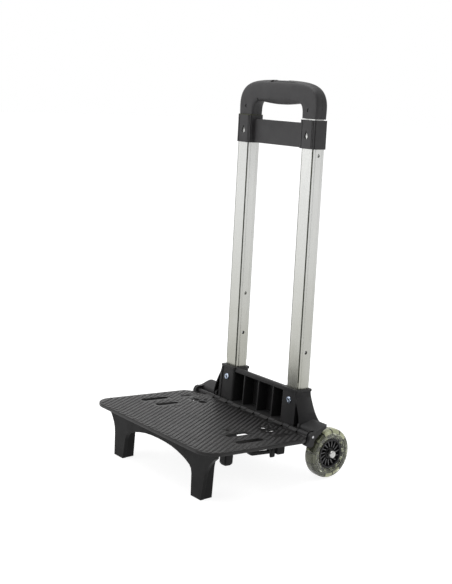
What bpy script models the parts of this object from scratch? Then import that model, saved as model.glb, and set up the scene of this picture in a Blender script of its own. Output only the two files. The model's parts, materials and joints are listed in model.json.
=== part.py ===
"""Folding two-wheeled luggage trolley with a telescopic loop handle.

Lengths below are millimetres unless a name ends in _M; meshes are written in metres.
Two construction frames are used:
  deck frame - x to the right, y to the rear, z square to the platform, origin on
               the platform hinge line at the height of the platform's top;
  tube frame - the same x, v to the rear, s along the tubes.
The whole unit stands pitched back by PITCH, on its front legs and its wheels.
"""
import bpy
import bmesh
import math
from mathutils import Matrix, Vector

# ------------------------------------------------------------------ dimensions
PITCH = math.radians(2.95)        # platform slopes down to the rear
TUBE_LEAN = math.radians(2.72)    # tubes lean forward of the platform's normal
FLOOR = 70.73                     # hinge origin above the floor
Y_CENTRE = 62.66                  # moves the whole part to the centre of its box

DECK_L = 203.8                    # hinge line to front edge
DECK_HALF_W = 150.0
DECK_T = 4.9
PLATE_T = 2.2
HINGE_Z = 0.3
KNUCKLE_R = 3.9
ROD_R = 2.0
GAP = 0.3

TUBE_X = 75.4                     # tube centre from the middle
TUBE_Y0 = 26.6                    # tube centre line at s = 0
TUBE_A, TUBE_B = 13.0, 11.8       # outer tube half width, half depth
CAV_A, CAV_B = 11.4, 10.2          # its bore
INN_A, INN_B = 10.9, 9.7          # inner tube half width, half depth
INN_CA, INN_CB = 9.7, 8.5         # its bore
TUBE_S0, TUBE_S1 = 8.0, 452.0
INN_S0, INN_S1 = 100.0, 488.0
SLEEVE_A, SLEEVE_B = 14.8, 13.6
SLEEVE_S0, SLEEVE_S1 = 425.5, 468.6
LOCK_S = 114.5                    # lock pin height with the handle down
HOLE_LEFT_S, HOLE_RIGHT_S = 180.0, 416.0
HANDLE_S0 = 470.2
SCREW_S = 483.0

WHEEL_Y, WHEEL_Z = 42.2, -30.68
WHEEL_R = 37.91
WHEEL_X = 133.0
WHEEL_HALF_W = 10.9
AXLE_R = 3.0
WHEEL_SEG = 34
SPOKES = 15

# ------------------------------------------------------------------ frames
for _o in list(bpy.data.objects):
    bpy.data.objects.remove(_o, do_unlink=True)

MM = Matrix.Scale(0.001, 4)
DECK_FRAME = (Matrix.Translation((0.0, Y_CENTRE * 0.001, FLOOR * 0.001))
              @ Matrix.Rotation(-PITCH, 4, 'X') @ MM)
TUBE_FRAME = DECK_FRAME @ Matrix.Translation((0.0, TUBE_Y0, 0.0)) @ Matrix.Rotation(TUBE_LEAN, 4, 'X')


# ------------------------------------------------------------------ helpers
def loft(rings, close=False):
    """Closed solid through equal-length rings of points; caps unless the rings form a loop."""
    bm = bmesh.new()
    vs = [[bm.verts.new(p) for p in r] for r in rings]
    n = len(vs[0])
    m = len(vs)
    for i in range(m if close else m - 1):
        a, b = vs[i], vs[(i + 1) % m]
        for j in range(n):
            k = (j + 1) % n
            bm.faces.new((a[j], a[k], b[k], b[j]))
    if not close:
        bm.faces.new(list(reversed(vs[0])))
        bm.faces.new(vs[-1])
    bmesh.ops.recalc_face_normals(bm, faces=bm.faces)
    return bm


def place(pts, axis, h):
    if axis == 'x':
        return [(h, p[0], p[1]) for p in pts]
    if axis == 'y':
        return [(p[0], h, p[1]) for p in pts]
    return [(p[0], p[1], h) for p in pts]


def prism(pts, axis, lo, hi):
    return loft([place(pts, axis, lo), place(pts, axis, hi)])


def rrect(x0, x1, y0, y1, r, n=4):
    out = []
    for cx, cy, a0 in ((x1 - r, y1 - r, 0), (x0 + r, y1 - r, 90), (x0 + r, y0 + r, 180), (x1 - r, y0 + r, 270)):
        for i in range(n + 1):
            a = math.radians(a0 + 90.0 * i / n)
            out.append((cx + r * math.cos(a), cy + r * math.sin(a)))
    return out


def box(x0, x1, y0, y1, z0, z1):
    return prism([(x0, y0), (x1, y0), (x1, y1), (x0, y1)], 'z', z0, z1)


def circle(cx, cy, r, n=16, a0=0.0):
    return [(cx + r * math.cos(a0 + 2 * math.pi * i / n), cy + r * math.sin(a0 + 2 * math.pi * i / n)) for i in range(n)]


def cyl(axis, ca, cb, r, lo, hi, n=16):
    return prism(circle(ca, cb, r, n), axis, lo, hi)


def turned(profile, axis, ca, cb, n, ring=True):
    """Turned solid about an axis through (ca, cb).  profile is a list of (radius, height).
    ring=True joins the profile end to end; otherwise its end radii are capped discs."""
    rings = []
    for i in range(n):
        a = 2 * math.pi * i / n
        c, s = math.cos(a), math.sin(a)
        row = []
        for r, h in profile:
            p = (ca + r * c, cb + r * s)
            row.append(place([p], axis, h)[0])
        rings.append(row)
    if ring:
        return loft(rings, close=True)
    bm = bmesh.new()
    vs = [[bm.verts.new(p) for p in r] for r in rings]
    m = len(profile)
    for i in range(n):
        a, b = vs[i], vs[(i + 1) % n]
        for j in range(m - 1):
            bm.faces.new((a[j], a[j + 1], b[j + 1], b[j]))
    bm.faces.new([v[0] for v in vs])
    bm.faces.new([v[-1] for v in reversed(vs)])
    bmesh.ops.recalc_face_normals(bm, faces=bm.faces)
    return bm


def _obj(bm, name):
    me = bpy.data.meshes.new(name)
    bm.to_mesh(me)
    o = bpy.data.objects.new(name, me)
    bpy.context.scene.collection.objects.link(o)
    return o


def boolean(bm, others, op):
    """Exact boolean of one solid with each of the others in turn."""
    base = _obj(bm, 'tmp_base')
    tools = []
    for i, t in enumerate(others):
        to = _obj(t, 'tmp_tool%d' % i)
        to.hide_render = True
        to.display_type = 'WIRE'
        tools.append(to)
        md = base.modifiers.new('b%d' % i, 'BOOLEAN')
        md.solver = 'EXACT'
        md.operation = op
        md.object = to
    dg = bpy.context.evaluated_depsgraph_get()
    me = bpy.data.meshes.new_from_object(base.evaluated_get(dg))
    out = bmesh.new()
    out.from_mesh(me)
    for o in [base] + tools:
        bpy.data.objects.remove(o, do_unlink=True)
    bmesh.ops.remove_doubles(out, verts=out.verts, dist=0.004)
    bmesh.ops.dissolve_degenerate(out, dist=0.002, edges=out.edges)
    return out


def union(bms):
    return boolean(bms[0], bms[1:], 'UNION')


def cut(bm, tools):
    return boolean(bm, tools, 'DIFFERENCE')


def group(bms):
    """Separate solids used together as one tool."""
    out = bmesh.new()
    for b in bms:
        me = bpy.data.meshes.new('g')
        b.to_mesh(me)
        out.from_mesh(me)
    return out


MATS = {}


def material(name, rgb, rough, metal=0.0, alpha=1.0):
    m = bpy.data.materials.new(name)
    m.use_nodes = True
    b = m.node_tree.nodes['Principled BSDF']
    b.inputs['Base Color'].default_value = (rgb[0], rgb[1], rgb[2], 1.0)
    b.inputs['Roughness'].default_value = rough
    b.inputs['Metallic'].default_value = metal
    b.inputs['Alpha'].default_value = alpha
    MATS[name] = m
    return m


def node(name, bm, frame, rgb, rough, metal=0.0, origin=None, sharp=35.0):
    """Write a solid as a named object whose origin sits at a point of the same frame."""
    bm = bm.copy()
    bm.transform(frame)
    at = (frame @ Vector(origin)) if origin is not None else Vector((0, 0, 0))
    bm.transform(Matrix.Translation(-at))
    bmesh.ops.recalc_face_normals(bm, faces=bm.faces)
    me = bpy.data.meshes.new(name)
    bm.to_mesh(me)
    me.shade_smooth()
    me.set_sharp_from_angle(angle=math.radians(sharp))
    o = bpy.data.objects.new(name, me)
    bpy.context.scene.collection.objects.link(o)
    o.location = at
    me.materials.append(material(name + '_mat', rgb, rough, metal))
    return o


def mirror_x(bm):
    b = bm.copy()
    b.transform(Matrix.Scale(-1.0, 4, (1, 0, 0)))
    bmesh.ops.reverse_faces(b, faces=b.faces)
    return b


def both(bm):
    return [bm, mirror_x(bm)]


def stepped(a, b, k=0.8, w=3.0):
    """Rectangle with a small square step at every corner."""
    out = []
    for sx, sy in ((1, 1), (-1, 1), (-1, -1), (1, -1)):
        c = [(a, b - w), (a - k, b - w), (a - k, b - k), (a - w, b - k), (a - w, b)]
        if sx * sy < 0:
            c = list(reversed(c))
        out += [(sx * p[0], sy * p[1]) for p in c]
    return out


def shift(pts, dx, dy=0.0):
    return [(p[0] + dx, p[1] + dy) for p in pts]


PLASTIC = (0.045, 0.044, 0.046)
DARK = (0.022, 0.022, 0.023)
CHARCOAL = (0.05, 0.05, 0.053)
ALU = (0.62, 0.63, 0.62)
STEEL = (0.6, 0.6, 0.62)

# ------------------------------------------------------------------ platform
HINGE_DECK = (0.0, 0.0, HINGE_Z)


def deck_outline(inset=0.0, n=5):
    """Plan outline, counter-clockwise, corners as arcs."""
    w, f = DECK_HALF_W - inset, -DECK_L + inset
    back = -6.5 - inset
    rf, rb = 31.0 - inset, 22.5 - inset
    pts = []
    for i in range(n + 1):                      # front right
        a = math.radians(270 + 90 * i / n)
        pts.append((w - rf + rf * math.cos(a), f + rf + rf * math.sin(a)))
    cy = -30.5
    for i in range(n + 1):                      # rear right
        a = math.radians(90 * i / n)
        pts.append((w - rb + rb * math.cos(a), cy + rb * math.sin(a)))
    pts.append((w - rb - 2.0, back))
    pts += [(-x, y) for x, y in reversed(pts)]
    return pts


def slot(cx, y0, y1, w, n=3):
    return rrect(cx - w / 2, cx + w / 2, y0, y1, w / 2 - 0.01, n)


top = deck_outline(0.9)
mid = deck_outline(0.0)
low = deck_outline(0.4)
deck = loft([place(low, 'z', -DECK_T), place(mid, 'z', -DECK_T + 0.9), place(mid, 'z', -0.9), place(top, 'z', 0.0)])
pocket = prism(deck_outline(2.6), 'z', -DECK_T - 1.0, -PLATE_T)
deck = cut(deck, [pocket])
ribs = []
for rx in (-105.5, 105.5):
    ribs.append(box(rx - 1.1, rx + 1.1, -137.0, -58.0, -9.0, -PLATE_T + 0.3))
for rx in (-79.2, 79.2):
    ribs.append(box(rx - 1.1, rx + 1.1, -124.0, -95.0, -9.0, -PLATE_T + 0.3))
for rx in (-105.5, -40.0, 40.0, 105.5):
    ribs.append(box(rx - 1.1, rx + 1.1, -202.0, -8.0, -DECK_T + 0.4, -PLATE_T + 0.4))
for ry in (-145.0, -66.0):
    ribs.append(box(-148.5, 148.5, ry - 1.1, ry + 1.1, -DECK_T + 0.5, -PLATE_T + 0.3))
knuckles = []
for kx in (-102.0, -68.0, -34.0, 0.0, 34.0, 68.0, 102.0):
    prof = circle(0.0, HINGE_Z, KNUCKLE_R, 12)
    knuckles.append(prism(prof, 'x', kx - 9.6, kx + 9.6))
    knuckles.append(prism([(-8.5, -4.5), (-2.0, -3.1), (0.0, -2.6), (0.0, 3.2), (-2.6, 2.7), (-8.5, -0.4)], 'x', kx - 9.0, kx + 9.0))
deck = union([deck] + ribs + knuckles)
SLOTS = [(119.6, -129.3, -78.7, 11.2), (88.2, -122.3, -80.7, 10.6), (117.0, -54.0, -27.0, 5.0),
         (91.0, -52.0, -29.0, 4.6), (76.0, -43.0, -32.0, 6.0), (65.0, -103.5, -98.5, 4.6)]
holes = []
for cx, y0, y1, w in SLOTS:
    h = prism(slot(cx, y0, y1, w), 'z', -12.0, 4.0)
    holes += both(h)
holes.append(cyl('x', 0.0, HINGE_Z, ROD_R + GAP, -160, 160, 12))
deck = cut(deck, holes)
node('deck_platform', deck, DECK_FRAME, PLASTIC, 0.5, origin=HINGE_DECK)

# front legs: one dark moulding with an arched apron
half = [(-138.0, -5.2), (-136.5, -12.5), (-131.0, -17.5), (-125.5, -23.5), (-120.5, -30.5), (-117.5, -37.0),
        (-115.5, -45.0), (-111.2, -86.0), (-89.0, -86.0), (-85.6, -49.0), (-83.5, -42.0), (-79.0, -37.0),
        (-70.0, -32.8), (-60.0, -29.4), (-48.0, -26.2), (-34.0, -23.6), (-18.0, -22.1)]
profile = half + [(0.0, -21.7)] + [(-x, z) for x, z in reversed(half)]
profile = [(x, z - (0.7 if abs(x) < 84 and z > -40 else 0.0)) for x, z in profile]
legs = prism(profile, 'y', -178.6, -172.6)
gussets = []
for sx in (-1, 1):
    gussets.append(prism([(-173.5, -86.0), (-157.8, -86.0), (-157.8, -34.0), (-156.3, -23.0), (-152.5, -16.0), (-148.0, -11.0),
                          (-146.0, -5.2), (-173.5, -5.2)], 'x', min(sx * 89.2, sx * 111.0), max(sx * 89.2, sx * 111.0)))
flange = box(-137.0, 137.0, -173.5, -150.0, -7.6, -5.2)
legs = union([legs, flange] + gussets)
floor_cut = box(-200, 200, -260, 100, -60, 0)
floor_cut.transform(Matrix.Rotation(PITCH, 4, 'X') @ Matrix.Translation((0, 0, -FLOOR)))
legs = cut(legs, [floor_cut])
node('front_leg_frame', legs, DECK_FRAME, DARK, 0.55, origin=HINGE_DECK)

# stub feet behind the legs
for sx, nm in ((-1, 'left'), (1, 'right')):
    st = loft([place(rrect(sx * 93 - 7.2, sx * 93 + 7.2, -129.5, -114.5, 2.0, 3), 'z', -2.5),
               place(rrect(sx * 93 - 7.2, sx * 93 + 7.2, -129.5, -114.5, 2.0, 3), 'z', -38.0),
               place(rrect(sx * 93 - 5.4, sx * 93 + 5.4, -127.5, -116.5, 2.0, 3), 'z', -41.0)])
    node('stub_foot_' + nm, st, DECK_FRAME, DARK, 0.6, origin=HINGE_DECK)

# strap loops under the side edges
for sx, nm in ((-1, 'left'), (1, 'right')):
    outer = [(-122.5, -2.5), (-121.0, -9.0), (-111.5, -16.4), (-108.0, -17.6), (-73.5, -18.6), (-72.0, -16.8), (-72.0, -2.5)]
    inner = [(-116.0, -6.6), (-108.5, -13.6), (-76.0, -14.8), (-76.0, -6.6)]
    lp = prism(outer, 'x', sx * 130 - 3.0, sx * 130 + 3.0)
    lp = cut(lp, [prism(inner, 'x', sx * 130 - 5.0, sx * 130 + 5.0)])
    node('strap_loop_' + nm, lp, DECK_FRAME, DARK, 0.6, origin=HINGE_DECK)

# small hooked lever on a pin in a housing, under the right edge
LATCH_X, LATCH_Z = 130.0, -12.0
hs = prism(rrect(-62.5, -48.5, -21.0, -2.5, 1.5, 3), 'x', LATCH_X - 6.0, LATCH_X + 6.0)
hs = cut(hs, [cyl('y', LATCH_X, LATCH_Z, 1.8, -66.0, -56.0, 12)])
node('latch_housing', hs, DECK_FRAME, DARK, 0.6, origin=HINGE_DECK)
node('latch_pin', cyl('y', LATCH_X, LATCH_Z, 1.5, -71.0, -56.4, 12), DECK_FRAME, STEEL, 0.3, 1.0, origin=(LATCH_X, -63.0, LATCH_Z))
lev = [(LATCH_X + 3.8 * math.cos(math.radians(a)), LATCH_Z + 3.8 * math.sin(math.radians(a))) for a in range(-30, 211, 24)]
lev += [(LATCH_X + 2.4 * math.cos(math.radians(a)), LATCH_Z - 11.5 + 2.4 * math.sin(math.radians(a))) for a in range(190, 351, 32)]
lever = prism(lev, 'y', -69.8, -63.8)
lever = cut(lever, [cyl('y', LATCH_X, LATCH_Z, 1.8, -72.0, -60.0, 12)])
node('latch_lever', lever, DECK_FRAME, DARK, 0.5, origin=(LATCH_X, -66.8, LATCH_Z))

# ------------------------------------------------------------------ base bracket
panel = prism([(7.0, -6.0), (33.0, -6.0), (33.0, 48.5), (15.5, 56.6), (11.5, 57.0), (9.8, 56.2), (9.0, 54.4), (9.0, 50.3),
               (13.0, 50.3), (30.4, 44.5), (30.4, 1.5), (7.0, 1.5)], 'x', -62.0, 62.0)
ribs = [prism([(10.0, 0.5), (31.5, 0.5), (31.5, 45.5), (13.0, 52.0), (10.0, 52.0)], 'x', rx - 1.2, rx + 1.2) for rx in (-35.0, 0.0, 35.0)]
solids = [panel] + ribs
for sx in (-1, 1):
    def X(a, b):
        return (min(sx * a, sx * b), max(sx * a, sx * b))
    x0, x1 = X(59.4, 91.6)
    solids.append(loft([place(rrect(x0, x1, 7.0, 41.0, 3.0, 3), 'z', -6.0), place(rrect(x0, x1, 7.0, 38.4, 3.0, 3), 'z', 57.0)]))
    x0, x1 = X(58.0, 92.6)
    solids.append(prism(rrect(x0, x1, 5.8, 39.2, 3.0, 3), 'z', 53.8, 57.3))
    # flared side wall
    levels = [(-6.0, 108.5, 119.2), (0.0, 108.0, 119.2), (5.0, 107.4, 119.2), (9.0, 106.8, 119.2), (12.0, 106.2, 118.0), (16.0, 105.2, 113.0),
              (22.0, 103.5, 107.6), (30.0, 100.5, 102.2), (38.0, 96.6, 97.8), (44.0, 93.6, 94.8), (50.0, 91.9, 92.8), (53.0, 91.4, 92.2)]
    rings = []
    prings = []
    for z, xf, xb in levels:
        xm = 0.55 * xf + 0.45 * xb + 0.6
        pts = [(88.0, 5.8), (xf - 1.5, 5.8), (xf, 7.6), (xm, 21.0), (xb, 35.5), (xb - 2.0, 38.2), (88.0, 38.2)]
        rings.append([(sx * p[0], p[1], z) for p in pts])
        t = 2.6
        pp = [(92.8, -2.0), (max(xf - t, 93.2), -2.0), (max(xf - t, 93.2), 6.5), (max(xm - t, 93.4), 21.0), (max(xb - t - 1.5, 93.6), 33.5), (92.8, 33.5)]
        if 0.0 < z < 46.0:
            prings.append([(sx * p[0], p[1], z) for p in pp])
    wall = loft(rings)
    wall = cut(wall, [loft(prings)])
    solids.append(wall)
    # block at the foot of the side wall, mudguard over the tyre, ear plate with the hinge boss, arm with the axle boss
    foot = [(7.0, -5.0), (7.0, 6.0), (9.0, 8.6), (14.0, 11.0), (22.0, 14.2), (28.0, 15.6), (33.0, 14.0), (37.0, 8.0), (38.0, 4.0), (38.0, -5.0)]
    x0, x1 = X(100.0, 119.2)
    solids.append(prism(foot, 'x', x0, x1))
    def under(r, y):
        return WHEEL_Z + math.sqrt(r * r - (y - WHEEL_Y) ** 2)
    wing = [(6.6, under(44.3, 6.6)), (7.0, 6.0), (9.0, 8.6), (14.0, 11.0), (22.0, 14.2), (28.0, 15.6), (30.2, 15.2), (30.6, under(44.3, 30.6))]
    wing += [(yy, under(44.3, yy)) for yy in (26.0, 21.0, 16.0, 12.0, 9.0)]
    x0, x1 = X(116.0, 143.0)
    solids.append(prism(wing, 'x', x0, x1))
    ear = [(8.4 * math.cos(math.radians(a)), HINGE_Z + 8.4 * math.sin(math.radians(a))) for a in range(70, 196, 18)]
    ear += [(-8.6, -8.0), (-7.0, -14.0), (-3.8, -18.6), (-0.8, -21.6), (1.6, -22.4), (3.0, -21.6), (5.0, -16.0), (8.3, -9.2), (11.3, -5.0),
            (15.5, -1.0), (19.0, 7.0), (14.0, 11.0), (8.0, 8.8)]
    x0, x1 = X(136.0, 143.0)
    solids.append(prism(ear, 'x', x0, x1))
    arm = [(16.0, -3.0), (38.0, -3.0), (48.5, -18.0)]
    arm += [(WHEEL_Y + 9.6 * math.cos(math.radians(a)), WHEEL_Z + 9.6 * math.sin(math.radians(a))) for a in range(18, -163, -20)]
    x0, x1 = X(112.2, 119.2)
    solids.append(prism(arm, 'x', x0, x1))
    nose = [[(sx * xx, r * math.cos(math.radians(a)), HINGE_Z + r * math.sin(math.radians(a))) for a in range(0, 360, 20)]
            for xx, r in ((136.6, 8.0), (143.0, 12.0))]
    solids.append(loft(nose))
for kx in (-85.0, -51.0, -17.0, 17.0, 51.0, 85.0):
    solids.append(prism(circle(0.0, HINGE_Z, KNUCKLE_R, 12), 'x', kx - 6.4, kx + 6.4))
    solids.append(prism([(0.0, -2.7), (8.0, -4.5), (8.0, 0.6), (2.8, 2.9), (0.0, 3.2)], 'x', kx - 6.0, kx + 6.0))
for sx in (-1, 1):
    a, b = min(sx * 112.4, sx * 137.0), max(sx * 112.4, sx * 137.0)
    solids.append(prism(circle(0.0, HINGE_Z, KNUCKLE_R, 12), 'x', a, b))
    solids.append(prism([(0.0, -2.7), (8.0, -4.5), (8.0, 0.6), (2.8, 2.9), (0.0, 3.2)], 'x', a + 0.4, b - 0.4))
chassis = union(solids)
tools = [cyl('x', 0.0, HINGE_Z, ROD_R + GAP, -160, 160, 12), cyl('x', WHEEL_Y, WHEEL_Z, AXLE_R + GAP, -125, 125, 14)]
for sx in (-1, 1):
    bore = prism(shift(stepped(TUBE_A + GAP, TUBE_B + GAP), sx * TUBE_X), 'z', TUBE_S0 - GAP, 75.0)
    bore.transform(Matrix.Translation((0.0, TUBE_Y0, 0.0)) @ Matrix.Rotation(TUBE_LEAN, 4, 'X'))
    tools.append(bore)
    tools.append(cyl('y', sx * 76.0, 39.0, 2.5, 0.0, 11.5, 14))
chassis = cut(chassis, tools)
node('chassis_bracket', chassis, DECK_FRAME, PLASTIC, 0.5)

for sx, nm in ((-1, 'left'), (1, 'right')):
    rivet = turned([(1.7, 5.9), (2.4, 5.3), (4.4, 5.5), (5.0, 6.1), (5.0, 6.7), (2.2, 6.7), (2.2, 11.0)], 'y', sx * 76.0, 39.0, 14, ring=False)
    node('chassis_rivet_' + nm, rivet, DECK_FRAME, STEEL, 0.25, 1.0)

node('hinge_rod', turned([(1.6, -143.6), (ROD_R, -142.9), (ROD_R, 142.9), (1.6, 143.6)], 'x', 0.0, HINGE_Z, 12, ring=False),
     DECK_FRAME, STEEL, 0.3, 1.0, origin=HINGE_DECK)

# ------------------------------------------------------------------ tubes and top bracket
for sx, nm in ((-1, 'left'), (1, 'right')):
    cx = sx * TUBE_X
    t = prism(shift(stepped(TUBE_A, TUBE_B), cx), 'z', TUBE_S0, TUBE_S1)
    holes = [prism(rrect(cx - CAV_A, cx + CAV_A, -CAV_B, CAV_B, 1.0, 2), 'z', TUBE_S0 - 5, TUBE_S1 + 5),
             cyl('x', 0.0, LOCK_S, 2.7, cx + 5.0, cx + 20.0, 14),
             cyl('x', 0.0, HOLE_LEFT_S if sx < 0 else HOLE_RIGHT_S, 2.7, cx + 5.0, cx + 20.0, 14)]
    t = cut(t, holes)
    node('outer_tube_' + nm, t, TUBE_FRAME, ALU, 0.35, 1.0)
    t = prism(rrect(cx - INN_A, cx + INN_A, -INN_B, INN_B, 1.3, 2), 'z', INN_S0, INN_S1)
    holes = [prism(rrect(cx - INN_CA, cx + INN_CA, -INN_CB, INN_CB, 0.8, 2), 'z', INN_S0 - 5, INN_S1 + 5),
             cyl('x', 0.0, LOCK_S, 2.5, cx + 5.0, cx + 20.0, 14),
             cyl('y', sx * 72.5, SCREW_S, 1.5, -15.0, -4.0, 10)]
    t = cut(t, holes)
    node('inner_tube_' + nm, t, TUBE_FRAME, ALU, 0.3, 1.0)
    # plastic guide: flange that runs in the outer tube, plug in the inner tube
    g = union([prism(rrect(cx - 11.1, cx + 11.1, -9.9, 9.9, 0.8, 2), 'z', 92.0, INN_S0 - GAP),
               prism(rrect(cx - INN_CA + GAP, cx + INN_CA - GAP, -INN_CB + GAP, INN_CB - GAP, 0.6, 2), 'z', 99.0, 130.0)])
    g = cut(g, [cyl('x', 0.0, LOCK_S, 2.5, cx - 5.5, cx + 20.0, 14), cyl('z', cx, 0.0, 2.1, 110.0, 140.0, 12)])
    node('tube_guide_' + nm, g, TUBE_FRAME, DARK, 0.6)
    p = turned([(1.2, cx - 1.5), (2.2, cx - 1.0), (2.2, cx + 10.3), (1.4, cx + 11.1)], 'x', 0.0, LOCK_S, 14, ring=False)
    node('lock_pin_' + nm, p, TUBE_FRAME, STEEL, 0.25, 1.0, origin=(cx, 0.0, LOCK_S))

sleeves = []
for sx in (-1, 1):
    sleeves.append(prism(shift(stepped(SLEEVE_A, SLEEVE_B, 0.9, 3.2), sx * TUBE_X), 'z', SLEEVE_S0, SLEEVE_S1))
bar = prism(rrect(-62.5, 62.5, -4.2, 7.5, 1.0, 2), 'z', 426.0, 463.2)
bracket = union(sleeves + [bar])
tools = []
for sx in (-1, 1):
    cx = sx * TUBE_X
    tools.append(prism(shift(stepped(TUBE_A + GAP, TUBE_B + GAP), cx), 'z', 420.0, TUBE_S1 + GAP))
    tools.append(prism(rrect(cx - INN_A - 0.4, cx + INN_A + 0.4, -INN_B - 0.4, INN_B + 0.4, 1.0, 2), 'z', 440.0, 480.0))
    # teardrop window in the front wall
    r0, zc, tip = 2.7, 443.6, 451.0
    d = tip - zc
    a0 = math.degrees(math.acos(r0 / d))
    tear = [(sx * 73.6 - 1.0, tip)]
    tear += [(sx * 73.6 - 1.0 + r0 * math.cos(math.radians(a)), zc + r0 * math.sin(math.radians(a)))
             for a in [90 + a0 + (360 - 2 * a0) * i / 12.0 for i in range(13)]]
    tools.append(prism(tear, 'y', -16.0, -11.5))
bracket = cut(bracket, tools)
node('top_bracket', bracket, TUBE_FRAME, CHARCOAL, 0.5)

# ------------------------------------------------------------------ handle
OUTER = [(0.0, 526.4), (15.0, 526.2), (30.0, 525.8), (45.0, 524.9), (58.0, 523.2), (69.0, 520.2), (78.0, 515.4),
         (84.6, 508.6), (88.6, 500.0), (90.2, 491.0), (90.2, 481.0), (89.6, HANDLE_S0)]
INNER = [(0.0, 488.6), (11.0, 488.8), (22.0, 489.4), (33.0, 490.4), (42.0, 491.4), (48.0, 491.9), (52.5, 490.9),
         (56.0, 488.6), (58.4, 485.4), (59.8, 481.4), (60.4, 476.4), (60.6, HANDLE_S0)]
DEPTH = [12.4, 12.4, 12.3, 12.2, 12.1, 12.0, 11.9, 11.8, 11.8, 11.8, 11.8, 11.8]
BOXY = [2.6, 2.6, 2.7, 2.9, 3.2, 3.7, 4.4, 5.4, 6.6, 7.5, 8.0, 8.0]
SECT = 20


def handle_ring(po, pi, d, e):
    c = ((po[0] + pi[0]) / 2, (po[1] + pi[1]) / 2)
    h = ((po[0] - pi[0]) / 2, (po[1] - pi[1]) / 2)
    out = []
    for i in range(SECT):
        a = 2 * math.pi * (i + 0.5) / SECT
        ca, sa = math.cos(a), math.sin(a)
        u = math.copysign(abs(ca) ** (2 / e), ca)
        w = math.copysign(abs(sa) ** (2 / e), sa)
        out.append((c[0] + h[0] * u, d * w, c[1] + h[1] * u))
    return out


rings = [handle_ring(o, i, d, e) for o, i, d, e in zip(OUTER, INNER, DEPTH, BOXY)]
left = [[(-p[0], p[1], p[2]) for p in r] for r in rings[1:]]
body = loft(list(reversed(left)) + rings)
tools = []
for sx in (-1, 1):
    cx = sx * TUBE_X
    tools.append(prism(rrect(cx - INN_A - GAP, cx + INN_A + GAP, -INN_B - GAP, INN_B + GAP, 1.3, 2), 'z', 460.0, INN_S1 + GAP))
    tools.append(cyl('z', cx, 0.0, 2.6, 480.0, 497.0, 12))
    tools.append(cyl('y', sx * 72.5, SCREW_S, 2.9, -16.0, -8.0, 14))
tools.append(box(-78.2, 78.2, -3.4, 3.4, 494.9, 504.9))
tools.append(box(-16.4, 16.4, -5.9, 5.9, 499.0, 540.0))
tools.append(box(-4.6, 4.6, -4.6, 4.6, 491.8, 500.0))
body = cut(body, tools)
front = boolean(body, [box(-120, 120, -40, -0.15, 440, 560)], 'INTERSECT')
rear = boolean(body, [box(-120, 120, 0.15, 40, 440, 560)], 'INTERSECT')
node('handle_front_shell', front, TUBE_FRAME, CHARCOAL, 0.45)
node('handle_rear_shell', rear, TUBE_FRAME, CHARCOAL, 0.45)
for sx, nm in ((-1, 'left'), (1, 'right')):
    screw = turned([(1.0, -11.0), (1.3, -11.4), (2.5, -11.1), (2.5, -10.0), (1.2, -10.0), (1.2, -7.0)], 'y', sx * 72.5, SCREW_S, 14, ring=False)
    node('handle_screw_' + nm, screw, TUBE_FRAME, STEEL, 0.3, 1.0)

# button: slightly dished cap, its foot on the crossbar
cap = []
for x, s_top in ((-16.0, 524.4), (-14.5, 525.4), (-8.0, 525.3), (0.0, 525.2), (8.0, 525.3), (14.5, 525.4), (16.0, 524.4)):
    cap.append([(x, -5.5, 505.2), (x, 5.5, 505.2), (x, 5.5, s_top - 0.9), (x, 3.4, s_top), (x, -3.4, s_top), (x, -5.5, s_top - 0.9)])
node('handle_button', loft(cap), TUBE_FRAME, DARK, 0.45, origin=(0.0, 0.0, 524.0))
node('lock_crossbar', box(-77.8, 77.8, -3.0, 3.0, 499.6, 504.6), TUBE_FRAME, DARK, 0.6, origin=(0.0, 0.0, 504.6))
for sx, nm in ((-1, 'left'), (1, 'right')):
    node('lock_rod_' + nm, cyl('z', sx * TUBE_X, 0.0, 1.7, 121.8, 499.2, 10), TUBE_FRAME, STEEL, 0.35, 1.0, origin=(sx * TUBE_X, 0.0, 499.2))

# coil spring under the crossbar
TURNS, STEPS, COIL_R, WIRE_R = 3.0, 10, 3.2, 0.55
rings = []
count = int(TURNS * STEPS)
s_lo, s_hi = 492.3 + WIRE_R, 499.2 - WIRE_R
for i in range(count + 1):
    a = 2 * math.pi * i / STEPS
    c = Vector((COIL_R * math.cos(a), COIL_R * math.sin(a), s_lo + (s_hi - s_lo) * i / count))
    radial = Vector((math.cos(a), math.sin(a), 0.0))
    rings.append([tuple(c + radial * (WIRE_R * math.cos(b)) + Vector((0, 0, 1)) * (WIRE_R * math.sin(b)))
                  for b in [2 * math.pi * k / 5 for k in range(5)]])
node('button_spring', loft(rings), TUBE_FRAME, STEEL, 0.3, 1.0, sharp=60.0)

# ------------------------------------------------------------------ axle and wheels
node('axle_rod', turned([(2.4, -143.8), (AXLE_R, -143.2), (AXLE_R, 143.2), (2.4, 143.8)], 'x', WHEEL_Y, WHEEL_Z, 14, ring=False),
     DECK_FRAME, STEEL, 0.3, 1.0, origin=(0.0, WHEEL_Y, WHEEL_Z))

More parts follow.
